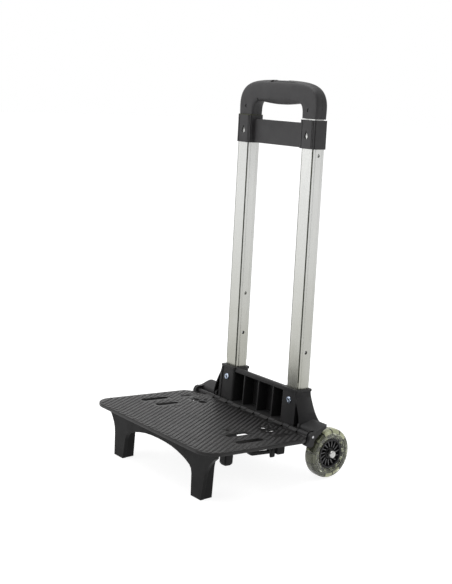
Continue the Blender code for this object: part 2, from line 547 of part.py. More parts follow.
OUT = WHEEL_X - 156.8   # wheel profiles below are drawn about x = 156.8
for sx, nm in ((-1, 'left'), (1, 'right')):
    def H(p):
        return [(r * 1.022 if r > 15.0 else r, sx * (x + OUT)) for r, x in p]
    centre = (sx * WHEEL_X, WHEEL_Y, WHEEL_Z)
    spacer = turned(H([(3.3, 143.3), (5.6, 143.3), (5.6, 146.9), (3.3, 146.9)]), 'x', WHEEL_Y, WHEEL_Z, 14)
    node('axle_spacer_' + nm, spacer, DECK_FRAME, DARK, 0.5)
    # hub: rim ring, barrel with a bearing seat, thin blades between them
    rim = turned(H([(19.6, 148.0), (22.9, 148.0), (22.9, 164.6), (22.1, 165.9), (19.9, 165.9), (19.0, 164.6), (19.0, 149.5)]), 'x', WHEEL_Y, WHEEL_Z, WHEEL_SEG)
    barrel = turned(H([(3.4, 154.3), (8.3, 154.3), (8.3, 147.2), (9.8, 147.2), (9.8, 155.0), (8.4, 162.6), (7.4, 163.6), (3.4, 163.6)]), 'x', WHEEL_Y, WHEEL_Z, 15)
    blades = []
    for i in range(SPOKES):
        a = 2 * math.pi * i / SPOKES
        sweep = math.radians(10.0) * sx
        pts = []
        for r, k in ((9.0, 0.0), (14.0, 0.45), (20.0, 1.0)):
            b = a + sweep * k
            pts.append((r * math.cos(b), r * math.sin(b)))
        def offset(t):
            out = []
            for j, p in enumerate(pts):
                q = pts[min(j + 1, 2)]
                o = pts[max(j - 1, 0)]
                d = Vector((q[0] - o[0], q[1] - o[1])).normalized()
                out.append((WHEEL_Y + p[0] - d.y * t, WHEEL_Z + p[1] + d.x * t))
            return out
        blades.append(prism(offset(0.65) + list(reversed(offset(-0.65))), 'x', min(sx * (150.5 + OUT), sx * (163.0 + OUT)), max(sx * (150.5 + OUT), sx * (163.0 + OUT))))
    hub = union([rim, barrel, group(blades)])
    node('wheel_hub_' + nm, hub, DECK_FRAME, DARK, 0.4, origin=centre)
    brg = turned(H([(3.3, 147.4), (8.0, 147.4), (8.0, 154.0), (3.3, 154.0)]), 'x', WHEEL_Y, WHEEL_Z, 15)
    node('wheel_bearing_' + nm, brg, DECK_FRAME, STEEL, 0.3, 1.0, origin=centre)
    # core ring with a notch between its segments
    n = 12
    core = turned(H([(23.4, 151.0), (28.8, 151.0), (28.8, 162.6), (23.4, 162.6)]), 'x', WHEEL_Y, WHEEL_Z, 36)
    notches = []
    for i in range(n):
        a = 2 * math.pi * (i + 0.5) / n
        c, s = math.cos(a), math.sin(a)
        q = []
        for r, t in ((26.6, -1.1), (31.6, -1.1), (31.6, 1.1), (26.6, 1.1)):
            q.append((WHEEL_Y + r * c - t * s, WHEEL_Z + r * s + t * c))
        notches.append(prism(q, 'x', min(sx * (148 + OUT), sx * (166 + OUT)), max(sx * (148 + OUT), sx * (166 + OUT))))
    core = cut(core, [group(notches)])
    node('wheel_core_' + nm, core, DECK_FRAME, (0.35, 0.36, 0.25), 0.3, origin=centre)
    w = WHEEL_HALF_W
    prof = [(23.2, -8.6), (27.5, -w + 0.3), (32.5, -w), (35.2, -9.2), (36.7, -6.2), (WHEEL_R / 1.022, -2.6), (WHEEL_R / 1.022, 2.6), (36.7, 6.2),
            (35.2, 9.2), (32.5, w), (27.5, w - 0.3), (23.2, 8.6), (23.2, 6.2), (29.2, 6.2), (29.2, -6.2), (23.2, -6.2)]
    tyre = turned(H([(r, WHEEL_X - OUT + x) for r, x in prof]), 'x', WHEEL_Y, WHEEL_Z, WHEEL_SEG)
    node('wheel_tyre_' + nm, tyre, DECK_FRAME, (0.72, 0.75, 0.62), 0.2, origin=centre)
    cap = turned(H([(3.3, 168.0), (3.3, 164.2), (5.6, 164.2), (6.1, 165.4), (6.0, 169.4), (5.0, 171.0), (2.6, 171.8)]), 'x', WHEEL_Y, WHEEL_Z, 16, ring=False)
    node('axle_cap_' + nm, cap, DECK_FRAME, STEEL, 0.2, 1.0)
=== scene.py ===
"""Looks of the folding luggage trolley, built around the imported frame.

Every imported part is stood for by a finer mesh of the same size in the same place, with a
node-based material.  Lengths are millimetres unless a name ends in _M; meshes are in metres.
"""
import bpy
import bmesh
import json
import math
import random
from mathutils import Matrix, Vector


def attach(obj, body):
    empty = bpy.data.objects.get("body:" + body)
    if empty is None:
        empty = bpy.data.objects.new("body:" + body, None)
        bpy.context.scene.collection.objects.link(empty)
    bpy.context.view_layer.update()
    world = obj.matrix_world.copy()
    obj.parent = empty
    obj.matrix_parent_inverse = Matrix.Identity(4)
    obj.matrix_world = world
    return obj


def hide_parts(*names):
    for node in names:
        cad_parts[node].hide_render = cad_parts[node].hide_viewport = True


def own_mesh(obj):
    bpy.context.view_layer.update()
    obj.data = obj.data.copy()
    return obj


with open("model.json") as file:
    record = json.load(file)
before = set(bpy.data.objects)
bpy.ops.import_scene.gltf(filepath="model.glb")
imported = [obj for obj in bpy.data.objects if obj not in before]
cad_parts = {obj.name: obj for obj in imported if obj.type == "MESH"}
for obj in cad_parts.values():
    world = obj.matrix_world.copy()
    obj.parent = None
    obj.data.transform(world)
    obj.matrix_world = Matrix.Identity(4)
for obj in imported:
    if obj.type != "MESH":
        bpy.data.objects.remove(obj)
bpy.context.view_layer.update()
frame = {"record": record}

BODY_OF = {n: b for b, ns in frame["record"]["behaviour"]["bodies"].items() for n in ns}


def cr(pts, k=4):
    """A smooth open curve through the points (centripetal enough for even spacing)."""
    out = []
    n = len(pts)
    for i in range(n - 1):
        p0, p1, p2, p3 = pts[max(i - 1, 0)], pts[i], pts[i + 1], pts[min(i + 2, n - 1)]
        for j in range(k):
            t = j / k
            out.append(tuple(0.5 * (2 * b + (c - a) * t + (2 * a - 5 * b + 4 * c - d) * t * t + (3 * b - a - 3 * c + d) * t ** 3)
                             for a, b, c, d in zip(p0, p1, p2, p3)))
    out.append(tuple(pts[-1]))
    return out

# ------------------------------------------------------------------ dimensions
PITCH = math.radians(2.95)        # platform slopes down to the rear
TUBE_LEAN = math.radians(2.72)    # tubes lean forward of the platform's normal
FLOOR = 70.73                     # hinge origin above the floor
Y_CENTRE = 62.66                  # moves the whole part to the centre of its box

DECK_L = 203.8                    # hinge line to front edge
DECK_HALF_W = 150.0
DECK_T = 4.9
PLATE_T = 2.2
HINGE_Z = 0.3
KNUCKLE_R = 3.9
ROD_R = 2.0
GAP = 0.3

TUBE_X = 75.4                     # tube centre from the middle
TUBE_Y0 = 26.6                    # tube centre line at s = 0
TUBE_A, TUBE_B = 13.0, 11.8       # outer tube half width, half depth
CAV_A, CAV_B = 11.4, 10.2          # its bore
INN_A, INN_B = 10.9, 9.7          # inner tube half width, half depth
INN_CA, INN_CB = 9.7, 8.5         # its bore
TUBE_S0, TUBE_S1 = 8.0, 452.0
INN_S0, INN_S1 = 100.0, 488.0
SLEEVE_A, SLEEVE_B = 14.8, 13.6
SLEEVE_S0, SLEEVE_S1 = 425.5, 468.6
LOCK_S = 114.5                    # lock pin height with the handle down
HOLE_LEFT_S, HOLE_RIGHT_S = 180.0, 416.0
HANDLE_S0 = 470.2
SCREW_S = 483.0

WHEEL_Y, WHEEL_Z = 42.2, -30.68
WHEEL_R = 37.91
WHEEL_X = 133.0
WHEEL_HALF_W = 10.9
AXLE_R = 3.0
WHEEL_SEG = 34
SPOKES = 15


MM = Matrix.Scale(0.001, 4)
DECK_FRAME = (Matrix.Translation((0.0, Y_CENTRE * 0.001, FLOOR * 0.001))
              @ Matrix.Rotation(-PITCH, 4, 'X') @ MM)
TUBE_FRAME = DECK_FRAME @ Matrix.Translation((0.0, TUBE_Y0, 0.0)) @ Matrix.Rotation(TUBE_LEAN, 4, 'X')


# ------------------------------------------------------------------ helpers
def loft(rings, close=False):
    """Closed solid through equal-length rings of points; caps unless the rings form a loop."""
    bm = bmesh.new()
    vs = [[bm.verts.new(p) for p in r] for r in rings]
    n = len(vs[0])
    m = len(vs)
    for i in range(m if close else m - 1):
        a, b = vs[i], vs[(i + 1) % m]
        for j in range(n):
            k = (j + 1) % n
            bm.faces.new((a[j], a[k], b[k], b[j]))
    if not close:
        bm.faces.new(list(reversed(vs[0])))
        bm.faces.new(vs[-1])
    bmesh.ops.recalc_face_normals(bm, faces=bm.faces)
    return bm


def place(pts, axis, h):
    if axis == 'x':
        return [(h, p[0], p[1]) for p in pts]
    if axis == 'y':
        return [(p[0], h, p[1]) for p in pts]
    return [(p[0], p[1], h) for p in pts]


def prism(pts, axis, lo, hi):
    return loft([place(pts, axis, lo), place(pts, axis, hi)])


def rrect(x0, x1, y0, y1, r, n=4):
    n = max(6, n * 2)
    out = []
    for cx, cy, a0 in ((x1 - r, y1 - r, 0), (x0 + r, y1 - r, 90), (x0 + r, y0 + r, 180), (x1 - r, y0 + r, 270)):
        for i in range(n + 1):
            a = math.radians(a0 + 90.0 * i / n)
            out.append((cx + r * math.cos(a), cy + r * math.sin(a)))
    return out


def box(x0, x1, y0, y1, z0, z1):
    return prism([(x0, y0), (x1, y0), (x1, y1), (x0, y1)], 'z', z0, z1)


def circle(cx, cy, r, n=16, a0=0.0):
    n = 48 if r > 4 else 32
    return [(cx + r * math.cos(a0 + 2 * math.pi * i / n), cy + r * math.sin(a0 + 2 * math.pi * i / n)) for i in range(n)]


def cyl(axis, ca, cb, r, lo, hi, n=16):
    return prism(circle(ca, cb, r, n), axis, lo, hi)


def turned(profile, axis, ca, cb, n, ring=True):
    """Fine turned solid about an axis through (ca, cb).  profile is a list of (radius, height).
    ring=True joins the profile end to end; otherwise its end radii are capped discs."""
    n = 144 if max(p[0] for p in profile) > 15 else 64
    rings = []
    for i in range(n):
        a = 2 * math.pi * i / n
        c, s = math.cos(a), math.sin(a)
        row = []
        for r, h in profile:
            p = (ca + r * c, cb + r * s)
            row.append(place([p], axis, h)[0])
        rings.append(row)
    if ring:
        return loft(rings, close=True)
    bm = bmesh.new()
    vs = [[bm.verts.new(p) for p in r] for r in rings]
    m = len(profile)
    for i in range(n):
        a, b = vs[i], vs[(i + 1) % n]
        for j in range(m - 1):
            bm.faces.new((a[j], a[j + 1], b[j + 1], b[j]))
    bm.faces.new([v[0] for v in vs])
    bm.faces.new([v[-1] for v in reversed(vs)])
    bmesh.ops.recalc_face_normals(bm, faces=bm.faces)
    return bm


def _obj(bm, name):
    me = bpy.data.meshes.new(name)
    bm.to_mesh(me)
    o = bpy.data.objects.new(name, me)
    bpy.context.scene.collection.objects.link(o)
    return o


def boolean(bm, others, op):
    """Exact boolean of one solid with each of the others in turn."""
    base = _obj(bm, 'tmp_base')
    tools = []
    for i, t in enumerate(others):
        to = _obj(t, 'tmp_tool%d' % i)
        to.hide_render = True
        to.display_type = 'WIRE'
        tools.append(to)
        md = base.modifiers.new('b%d' % i, 'BOOLEAN')
        md.solver = 'EXACT'
        md.operation = op
        md.object = to
    dg = bpy.context.evaluated_depsgraph_get()
    me = bpy.data.meshes.new_from_object(base.evaluated_get(dg))
    out = bmesh.new()
    out.from_mesh(me)
    for o in [base] + tools:
        bpy.data.objects.remove(o, do_unlink=True)
    bmesh.ops.remove_doubles(out, verts=out.verts, dist=0.004)
    bmesh.ops.dissolve_degenerate(out, dist=0.002, edges=out.edges)
    return out


def union(bms):
    return boolean(bms[0], bms[1:], 'UNION')


def cut(bm, tools):
    return boolean(bm, tools, 'DIFFERENCE')


def group(bms):
    """Separate solids used together as one tool."""
    out = bmesh.new()
    for b in bms:
        me = bpy.data.meshes.new('g')
        b.to_mesh(me)
        out.from_mesh(me)
    return out


# ------------------------------------------------------------------ materials
def _new(name):
    m = bpy.data.materials.new(name)
    m.use_nodes = True
    nt = m.node_tree
    return m, nt, nt.nodes['Principled BSDF']


def _noise(nt, vec, scale, detail=3.0, rough=0.55):
    n = nt.nodes.new('ShaderNodeTexNoise')
    n.inputs['Scale'].default_value = scale
    n.inputs['Detail'].default_value = detail
    n.inputs['Roughness'].default_value = rough
    nt.links.new(vec, n.inputs['Vector'])
    return n.outputs['Fac']


def _range(nt, val, a, b, c, d, smooth=False):
    n = nt.nodes.new('ShaderNodeMapRange')
    n.interpolation_type = 'SMOOTHSTEP' if smooth else 'LINEAR'
    for k, v in zip(('From Min', 'From Max', 'To Min', 'To Max'), (a, b, c, d)):
        n.inputs[k].default_value = v
    nt.links.new(val, n.inputs['Value'])
    return n.outputs['Result']


def _math(nt, op, a, b=None):
    n = nt.nodes.new('ShaderNodeMath')
    n.operation = op
    for i, v in enumerate((a, b)):
        if v is None:
            continue
        if isinstance(v, (int, float)):
            n.inputs[i].default_value = v
        else:
            nt.links.new(v, n.inputs[i])
    return n.outputs[0]


def _mix(nt, fac, a, b):
    n = nt.nodes.new('ShaderNodeMix')
    n.data_type = 'RGBA'
    nt.links.new(fac, n.inputs['Factor'])
    for key, v in (('A', a), ('B', b)):
        s = [i for i in n.inputs if i.name == key and i.type == 'RGBA'][0]
        if isinstance(v, tuple):
            s.default_value = (v[0], v[1], v[2], 1.0)
        else:
            nt.links.new(v, s)
    return [o for o in n.outputs if o.type == 'RGBA'][0]


def _coords(nt, scale=None, rot=None):
    tc = nt.nodes.new('ShaderNodeTexCoord')
    if scale is None and rot is None:
        return tc.outputs['Object']
    mp = nt.nodes.new('ShaderNodeMapping')
    if scale:
        mp.inputs['Scale'].default_value = scale
    if rot:
        mp.inputs['Rotation'].default_value = rot
    nt.links.new(tc.outputs['Object'], mp.inputs['Vector'])
    return mp.outputs['Vector']


def _bevel(nt, radius):
    n = nt.nodes.new('ShaderNodeBevel')
    n.samples = 4
    n.inputs['Radius'].default_value = radius
    return n.outputs['Normal']


def _edge(nt, radius, lo=0.985, hi=0.80):
    """1 along convex and concave edges, fading out over the radius."""
    g = nt.nodes.new('ShaderNodeNewGeometry')
    v = nt.nodes.new('ShaderNodeVectorMath')
    v.operation = 'DOT_PRODUCT'
    nt.links.new(_bevel(nt, radius), v.inputs[0])
    nt.links.new(g.outputs['Normal'], v.inputs[1])
    return _range(nt, v.outputs['Value'], lo, hi, 0.0, 1.0, True)


def _bump(nt, height, strength, distance, normal=None):
    n = nt.nodes.new('ShaderNodeBump')
    n.inputs['Strength'].default_value = strength
    n.inputs['Distance'].default_value = distance
    nt.links.new(height, n.inputs['Height'])
    if normal is not None:
        nt.links.new(normal, n.inputs['Normal'])
    return n.outputs['Normal']


def plastic(name, dark, light, worn_and_highlight, r0, r1, grain=1500.0, g_str=0.35, radius=0.0005, wear_and_highlight=0.6, spec=0.5, broad=16.0):
    """Moulded plastic: broad tone drift, fine moulded grain, paler rubbed edges, uneven sheen; where the edge colour is
    strong, as on the hub, the paler edges are painted highlight as well as wear.
    """
    m, nt, b = _new(name)
    vec = _coords(nt)
    tone = _range(nt, _noise(nt, vec, broad, 4.0), 0.32, 0.68, 0.0, 1.0, True)
    speck = _noise(nt, vec, grain * 0.45, 2.0)
    col = _mix(nt, tone, dark, light)
    col = _mix(nt, _range(nt, speck, 0.58, 0.78, 0.0, 0.55), col, light)
    # paler edges: rubbed wear, and on the hub also painted highlight along the blade edges
    rub_and_highlight = _math(nt, 'MULTIPLY', _edge(nt, radius * 1.6), _range(nt, _noise(nt, vec, 140.0, 5.0), 0.40, 0.66, 0.0, wear_and_highlight, True))
    col = _mix(nt, rub_and_highlight, col, worn_and_highlight)
    nt.links.new(col, b.inputs['Base Color'])
    rough = _range(nt, _noise(nt, vec, 55.0, 5.0, 0.65), 0.3, 0.7, r0, r1)
    nt.links.new(rough, b.inputs['Roughness'])
    b.inputs['Specular IOR Level'].default_value = spec
    fine = _noise(nt, vec, grain, 2.0)
    wavy = _noise(nt, vec, 30.0, 2.0)
    nrm = _bump(nt, wavy, 0.05, 0.002, _bevel(nt, radius))
    nt.links.new(_bump(nt, fine, g_str, 0.00010, nrm), b.inputs['Normal'])
    return m


def aluminium(name, low, high, r0, r1):
    """Drawn and anodised aluminium: fine lines along the tube, a few faint scuffs, and a base colour painted darker
    towards the bottom and lighter towards the top as painted light and shade.
    """
    m, nt, b = _new(name)
    lean = PITCH - TUBE_LEAN
    lines = _noise(nt, _coords(nt, (1.0, 1.0, 0.010), (lean, 0.0, 0.0)), 2400.0, 4.0, 0.6)
    wide = _noise(nt, _coords(nt, (1.0, 1.0, 0.02), (lean, 0.0, 0.0)), 420.0, 2.0)
    vec = _coords(nt)
    sep = nt.nodes.new('ShaderNodeSeparateXYZ')
    nt.links.new(vec, sep.inputs[0])
    # painted light and shade: the base colour runs from the low colour at the bottom to the high colour at the top
    painted_shade_by_height = _range(nt, sep.outputs['Z'], 0.10, 0.46, 0.0, 1.0, True)
    col = _mix(nt, painted_shade_by_height, low, high)
    cloud = _range(nt, _noise(nt, vec, 9.0, 3.0), 0.35, 0.7, 0.0, 0.35, True)
    col = _mix(nt, cloud, col, tuple(c * 0.86 for c in high))
    scuff = _range(nt, _noise(nt, _coords(nt, (1.0, 1.0, 0.25)), 260.0, 6.0, 0.7), 0.66, 0.74, 0.0, 0.35)
    col = _mix(nt, scuff, col, tuple(c * 0.8 for c in low))
    nt.links.new(col, b.inputs['Base Color'])
    rough = _math(nt, 'ADD', _range(nt, lines, 0.3, 0.7, r0, r1), _range(nt, wide, 0.3, 0.7, -0.03, 0.03))
    nt.links.new(rough, b.inputs['Roughness'])
    b.inputs['Metallic'].default_value = 1.0
    nt.links.new(_bump(nt, lines, 0.10, 0.00005, _bevel(nt, 0.0003)), b.inputs['Normal'])
    return m


def steel(name, col_a, col_b, r0, r1, grain=900.0):
    m, nt, b = _new(name)
    vec = _coords(nt)
    tone = _range(nt, _noise(nt, vec, 240.0, 5.0, 0.65), 0.35, 0.7, 0.0, 1.0, True)
    nt.links.new(_mix(nt, tone, col_a, col_b), b.inputs['Base Color'])
    nt.links.new(_range(nt, _noise(nt, vec, grain, 3.0), 0.3, 0.7, r0, r1), b.inputs['Roughness'])
    b.inputs['Metallic'].default_value = 1.0
    nt.links.new(_bump(nt, _noise(nt, vec, grain * 2, 3.0), 0.08, 0.00005, _bevel(nt, 0.00025)), b.inputs['Normal'])
    return m


def clear_pu(name, tint, murk, r0, r1):
    """Clear cast polyurethane: slightly cloudy, faint casting waves, dusty scuffs on the tread."""
    m, nt, b = _new(name)
    vec = _coords(nt)
    cloud = _range(nt, _noise(nt, vec, 70.0, 4.0), 0.35, 0.7, 0.0, 1.0, True)
    nt.links.new(_mix(nt, cloud, tint, murk), b.inputs['Base Color'])
    nt.links.new(_range(nt, _noise(nt, vec, 300.0, 5.0, 0.65), 0.35, 0.72, r0, r1), b.inputs['Roughness'])
    b.inputs['Transmission Weight'].default_value = 0.96
    b.inputs['IOR'].default_value = 1.46
    nt.links.new(_bump(nt, _noise(nt, vec, 45.0, 1.0), 0.06, 0.0004), b.inputs['Normal'])
    return m


def led_core(name, low, high, pale):
    """Moulded core under the clear tyre: smooth segments drifting from dark olive to pale green."""
    m, nt, b = _new(name)
    vec = _coords(nt)
    patch = _range(nt, _noise(nt, vec, 34.0, 0.5), 0.40, 0.64, 0.0, 1.0, True)
    col = _mix(nt, patch, low, high)
    fleck = _range(nt, _noise(nt, vec, 75.0, 0.5), 0.66, 0.72, 0.0, 0.8)
    nt.links.new(_mix(nt, fleck, col, pale), b.inputs['Base Color'])
    nt.links.new(_range(nt, _noise(nt, vec, 200.0, 3.0), 0.3, 0.7, 0.10, 0.26), b.inputs['Roughness'])
    nt.links.new(_bump(nt, _noise(nt, vec, 60.0, 1.0), 0.10, 0.0005), b.inputs['Normal'])
    return m


MAT = {
    'bracket': plastic('bracket_black', (0.0160, 0.0158, 0.0165), (0.0235, 0.0230, 0.0235), (0.08, 0.078, 0.079), 0.40, 0.56, spec=0.21),
    'deck': plastic('deck_black', (0.0060, 0.0056, 0.0056), (0.0105, 0.0098, 0.0098), (0.05, 0.048, 0.048), 0.28, 0.42, 1300.0, 0.40, spec=0.24),
    'tread': plastic('deck_tread_black', (0.0080, 0.0075, 0.0075), (0.0150, 0.0140, 0.0140), (0.09, 0.086, 0.086), 0.26, 0.38, 1300.0, 0.35, spec=0.42),
    # legs and the small parts under the deck: black plastic set darker than the other mouldings, partly as painted
    # shade
    'leg': plastic('leg_black_painted_shade', (0.0038, 0.0038, 0.0039), (0.0074, 0.0073, 0.0075), (0.035, 0.035, 0.036), 0.40, 0.56, 1300.0, spec=0.12),
    'handle': plastic('handle_charcoal', (0.021, 0.0203, 0.0215), (0.030, 0.0292, 0.0305), (0.075, 0.074, 0.076), 0.46, 0.62, 1100.0, 0.45, spec=0.34),
    'button': plastic('button_black', (0.020, 0.0195, 0.0205), (0.028, 0.0275, 0.029), (0.06, 0.06, 0.06), 0.42, 0.58, spec=0.34),
    # pale grey for the strips on the hub blades: painted highlight
    'spoke': plastic('hub_edge_painted_highlight', (0.095, 0.095, 0.098), (0.150, 0.150, 0.154), (0.12, 0.12, 0.12), 0.28, 0.42, 900.0, 0.2, spec=0.35),
    # hub: black, with pale strong edges that are painted highlight on the blades; also used for the painted shade sheet
    # behind the hinge hook
    'hub': plastic('hub_black', (0.0025, 0.0025, 0.0028), (0.0055, 0.0055, 0.006), (0.16, 0.16, 0.165), 0.26, 0.42, 900.0, 0.2, radius=0.00045, wear_and_highlight=1.0, spec=0.30),
    'alu': aluminium('drawn_aluminium', (0.345, 0.345, 0.305), (0.64, 0.645, 0.63), 0.22, 0.38),
    'steel': steel('zinc_steel', (0.42, 0.42, 0.44), (0.60, 0.60, 0.62), 0.24, 0.42),
    'bright': steel('bright_steel', (0.42, 0.42, 0.41), (0.58, 0.58, 0.565), 0.22, 0.38),
    # blackened steel: the screws' own finish, and painted shade on the hinge rod and the rivet centres
    'dark': steel('blackened_steel_and_painted_shade', (0.03, 0.03, 0.032), (0.07, 0.07, 0.072), 0.32, 0.48),
    'blue': steel('rivet_steel', (0.26, 0.32, 0.42), (0.56, 0.62, 0.72), 0.18, 0.32),
    # dark and pale copies of the tyre core for the segments: painted shade and painted light
    'core': led_core('tyre_core_olive_painted_shade', (0.018, 0.020, 0.010), (0.110, 0.115, 0.070), (0.34, 0.35, 0.24)),
    'core_pale': led_core('tyre_core_painted_lit', (0.62, 0.63, 0.46), (0.86, 0.86, 0.67), (0.93, 0.93, 0.78)),
    'core_mid': led_core('tyre_core_grey', (0.075, 0.080, 0.050), (0.21, 0.215, 0.145), (0.42, 0.43, 0.31)),
    'glint': plastic('tyre_core_painted_glint', (0.34, 0.35, 0.22), (0.56, 0.57, 0.42), (0.7, 0.7, 0.6), 0.15, 0.30, 600.0, 0.2, broad=120.0),
    # dark olive for the tyre dashes, and for the strips and ring that are painted shade in the tube grooves and the
    # sleeve gap
    'olive': plastic('tyre_core_dark_and_painted_shade', (0.010, 0.011, 0.004), (0.028, 0.030, 0.012), (0.10, 0.10, 0.06), 0.2, 0.35, 700.0, 0.2, spec=0.3, broad=90.0),
    'clear': clear_pu('clear_polyurethane', (0.78, 0.80, 0.66), (0.60, 0.62, 0.48), 0.015, 0.07),
}
PAINT = [('chassis_rivet', 'blue'), ('chassis', 'bracket'), ('axle_spacer', 'bracket'), ('deck', 'deck'), ('front_leg', 'leg'), ('stub', 'leg'),
         ('strap', 'leg'), ('hinge_rod', 'dark'), ('latch_pin', 'steel'), ('latch', 'leg'), ('handle_screw', 'dark'), ('handle_button', 'button'), ('handle', 'handle'),
         ('top_bracket', 'handle'), ('lock_crossbar', 'button'), ('tube_guide', 'button'), ('outer_tube', 'alu'), ('inner_tube', 'alu'),
         ('wheel_hub', 'hub'), ('wheel_core', 'core_mid'), ('wheel_tyre', 'clear'), ('axle_cap', 'bright'), ('', 'steel')]
BEVEL = {}
PIECES = {}


def piece(name, bm, body, mat, frame_m=None, sharp=35.0, bevel=0.0, stands_for=()):
    """A visible mesh that rides on a body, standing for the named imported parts."""
    bm = bm.copy()
    if frame_m is not None:
        bm.transform(frame_m)
    bmesh.ops.recalc_face_normals(bm, faces=bm.faces)
    me = bpy.data.meshes.new(name)
    bm.to_mesh(me)
    me.shade_smooth()
    me.set_sharp_from_angle(angle=math.radians(sharp))
    o = bpy.data.objects.new(name, me)
    bpy.context.scene.collection.objects.link(o)
    me.materials.append(mat)
    if bevel:
        md = o.modifiers.new('edge', 'BEVEL')
        md.width = bevel * 0.001
        md.segments = 2
        md.limit_method = 'ANGLE'
        md.angle_limit = math.radians(38.0)
        md.use_clamp_overlap = True
        md.harden_normals = True
    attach(o, body)
    if stands_for:
        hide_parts(*stands_for)
    PIECES[name] = o
    return o


def node(name, bm, frame_m, rgb, rough, metal=0.0, origin=None, sharp=35.0):
    kind = [k for p, k in PAINT if name.startswith(p)][0]
    bev = [w for p, w in BEVEL.items() if name.startswith(p)]
    return piece('v_' + name, bm, BODY_OF[name], MAT[kind], frame_m, sharp, bev[0] if bev else 0.0, (name,))


def mirror_x(bm):
    b = bm.copy()
    b.transform(Matrix.Scale(-1.0, 4, (1, 0, 0)))
    bmesh.ops.reverse_faces(b, faces=b.faces)
    return b


def both(bm):
    return [bm, mirror_x(bm)]


def stepped(a, b, k=0.8, w=3.0):
    """Rectangle with a small square step at every corner."""
    out = []
    for sx, sy in ((1, 1), (-1, 1), (-1, -1), (1, -1)):
        c = [(a, b - w), (a - k, b - w), (a - k, b - k), (a - w, b - k), (a - w, b)]
        if sx * sy < 0:
            c = list(reversed(c))
        out += [(sx * p[0], sy * p[1]) for p in c]
    return out


def grooved(a, b):
    """Rectangle with a square groove at every corner and a slightly fluted side face."""
    out = []
    for sx, sy in ((1, 1), (-1, 1), (-1, -1), (1, -1)):
        c = [(a, b - 6.4), (a - 0.25, b - 6.2), (a - 0.75, b - 5.7), (a - 0.1, b - 1.9), (a - 0.15, b - 1.5), (a - 0.4, b - 1.3), (a - 2.2, b - 1.3), (a - 2.2, b - 0.2), (a - 2.4, b)]
        if sx * sy < 0:
            c = list(reversed(c))
        out += [(sx * p[0], sy * p[1]) for p in c]
    return out


def ribbed(a, b, k, w):
    """The stepped rectangle with one more fine groove beside each corner on the front and rear faces."""
    out = []
    for sx, sy in ((1, 1), (-1, 1), (-1, -1), (1, -1)):
        c = [(a, b - w), (a - k, b - w), (a - k, b - k), (a - w, b - k), (a - w, b), (a - w - 1.3, b), (a - w - 1.5, b - 0.8), (a - w - 2.5, b - 0.8), (a - w - 2.7, b)]
        if sx * sy < 0:
            c = list(reversed(c))
        out += [(sx * p[0], sy * p[1]) for p in c]
    return out


def shift(pts, dx, dy=0.0):
    return [(p[0] + dx, p[1] + dy) for p in pts]


PLASTIC = (0.045, 0.044, 0.046)
DARK = (0.022, 0.022, 0.023)
CHARCOAL = (0.05, 0.05, 0.053)
ALU = (0.62, 0.63, 0.62)
STEEL = (0.6, 0.6, 0.62)

# ------------------------------------------------------------------ platform
HINGE_DECK = (0.0, 0.0, HINGE_Z)


def deck_outline(inset=0.0, n=20):
    """Plan outline, counter-clockwise, corners as arcs."""
    w, f = DECK_HALF_W - inset, -DECK_L + inset
    back = -6.5 - inset
    rf, rb = 31.0 - inset, 22.5 - inset
    pts = []
    for i in range(n + 1):                      # front right
        a = math.radians(270 + 90 * i / n)
        pts.append((w - rf + rf * math.cos(a), f + rf + rf * math.sin(a)))
    cy = -30.5
    for i in range(n + 1):                      # rear right
        a = math.radians(90 * i / n)
        pts.append((w - rb + rb * math.cos(a), cy + rb * math.sin(a)))
    pts.append((w - rb - 2.0, back))
    pts += [(-x, y) for x, y in reversed(pts)]
    return pts


def slot(cx, y0, y1, w, n=3):
    return rrect(cx - w / 2, cx + w / 2, y0, y1, w / 2 - 0.01, n)


top = deck_outline(0.9)
mid = deck_outline(0.0)
low = deck_outline(0.4)
deck = loft([place(low, 'z', -DECK_T), place(mid, 'z', -DECK_T + 0.9), place(mid, 'z', -0.9), place(top, 'z', 0.0)])
pocket = prism(deck_outline(2.6), 'z', -DECK_T - 1.0, -PLATE_T)
deck = cut(deck, [pocket])
ribs = []
for rx in (-105.5, 105.5):
    ribs.append(box(rx - 1.1, rx + 1.1, -137.0, -58.0, -9.0, -PLATE_T + 0.3))
for rx in (-79.2, 79.2):
    ribs.append(box(rx - 1.1, rx + 1.1, -124.0, -95.0, -9.0, -PLATE_T + 0.3))
for rx in (-105.5, -40.0, 40.0, 105.5):
    ribs.append(box(rx - 1.1, rx + 1.1, -202.0, -8.0, -DECK_T + 0.4, -PLATE_T + 0.4))
for ry in (-145.0, -66.0):
    ribs.append(box(-148.5, 148.5, ry - 1.1, ry + 1.1, -DECK_T + 0.5, -PLATE_T + 0.3))
knuckles = []
for kx in (-102.0, -68.0, -34.0, 0.0, 34.0, 68.0, 102.0):
    prof = circle(0.0, HINGE_Z, KNUCKLE_R, 12)
    knuckles.append(prism(prof, 'x', kx - 9.6, kx + 9.6))
    knuckles.append(prism([(-8.5, -4.5), (-2.0, -3.1), (0.0, -2.6), (0.0, 3.2), (-2.6, 2.7), (-8.5, -0.4)], 'x', kx - 9.0, kx + 9.0))
deck = union([deck] + ribs + knuckles)
SLOTS = [(119.6, -129.3, -78.7, 11.2), (88.2, -122.3, -80.7, 10.6), (117.0, -54.0, -27.0, 5.0),
         (91.0, -52.0, -29.0, 4.6), (92.0, -46.0, -36.0, 10.0), (75.5, -45.7, -34.3, 11.4), (65.0, -103.5, -98.5, 4.6)]
holes = []
for cx, y0, y1, w in SLOTS:
    h = prism(slot(cx, y0, y1, w), 'z', -12.0, 4.0)
    holes += both(h)
holes.append(cyl('x', 0.0, HINGE_Z, ROD_R + GAP, -160, 160, 12))
deck = cut(deck, holes)
node('deck_platform', deck, DECK_FRAME, PLASTIC, 0.5, origin=HINGE_DECK)

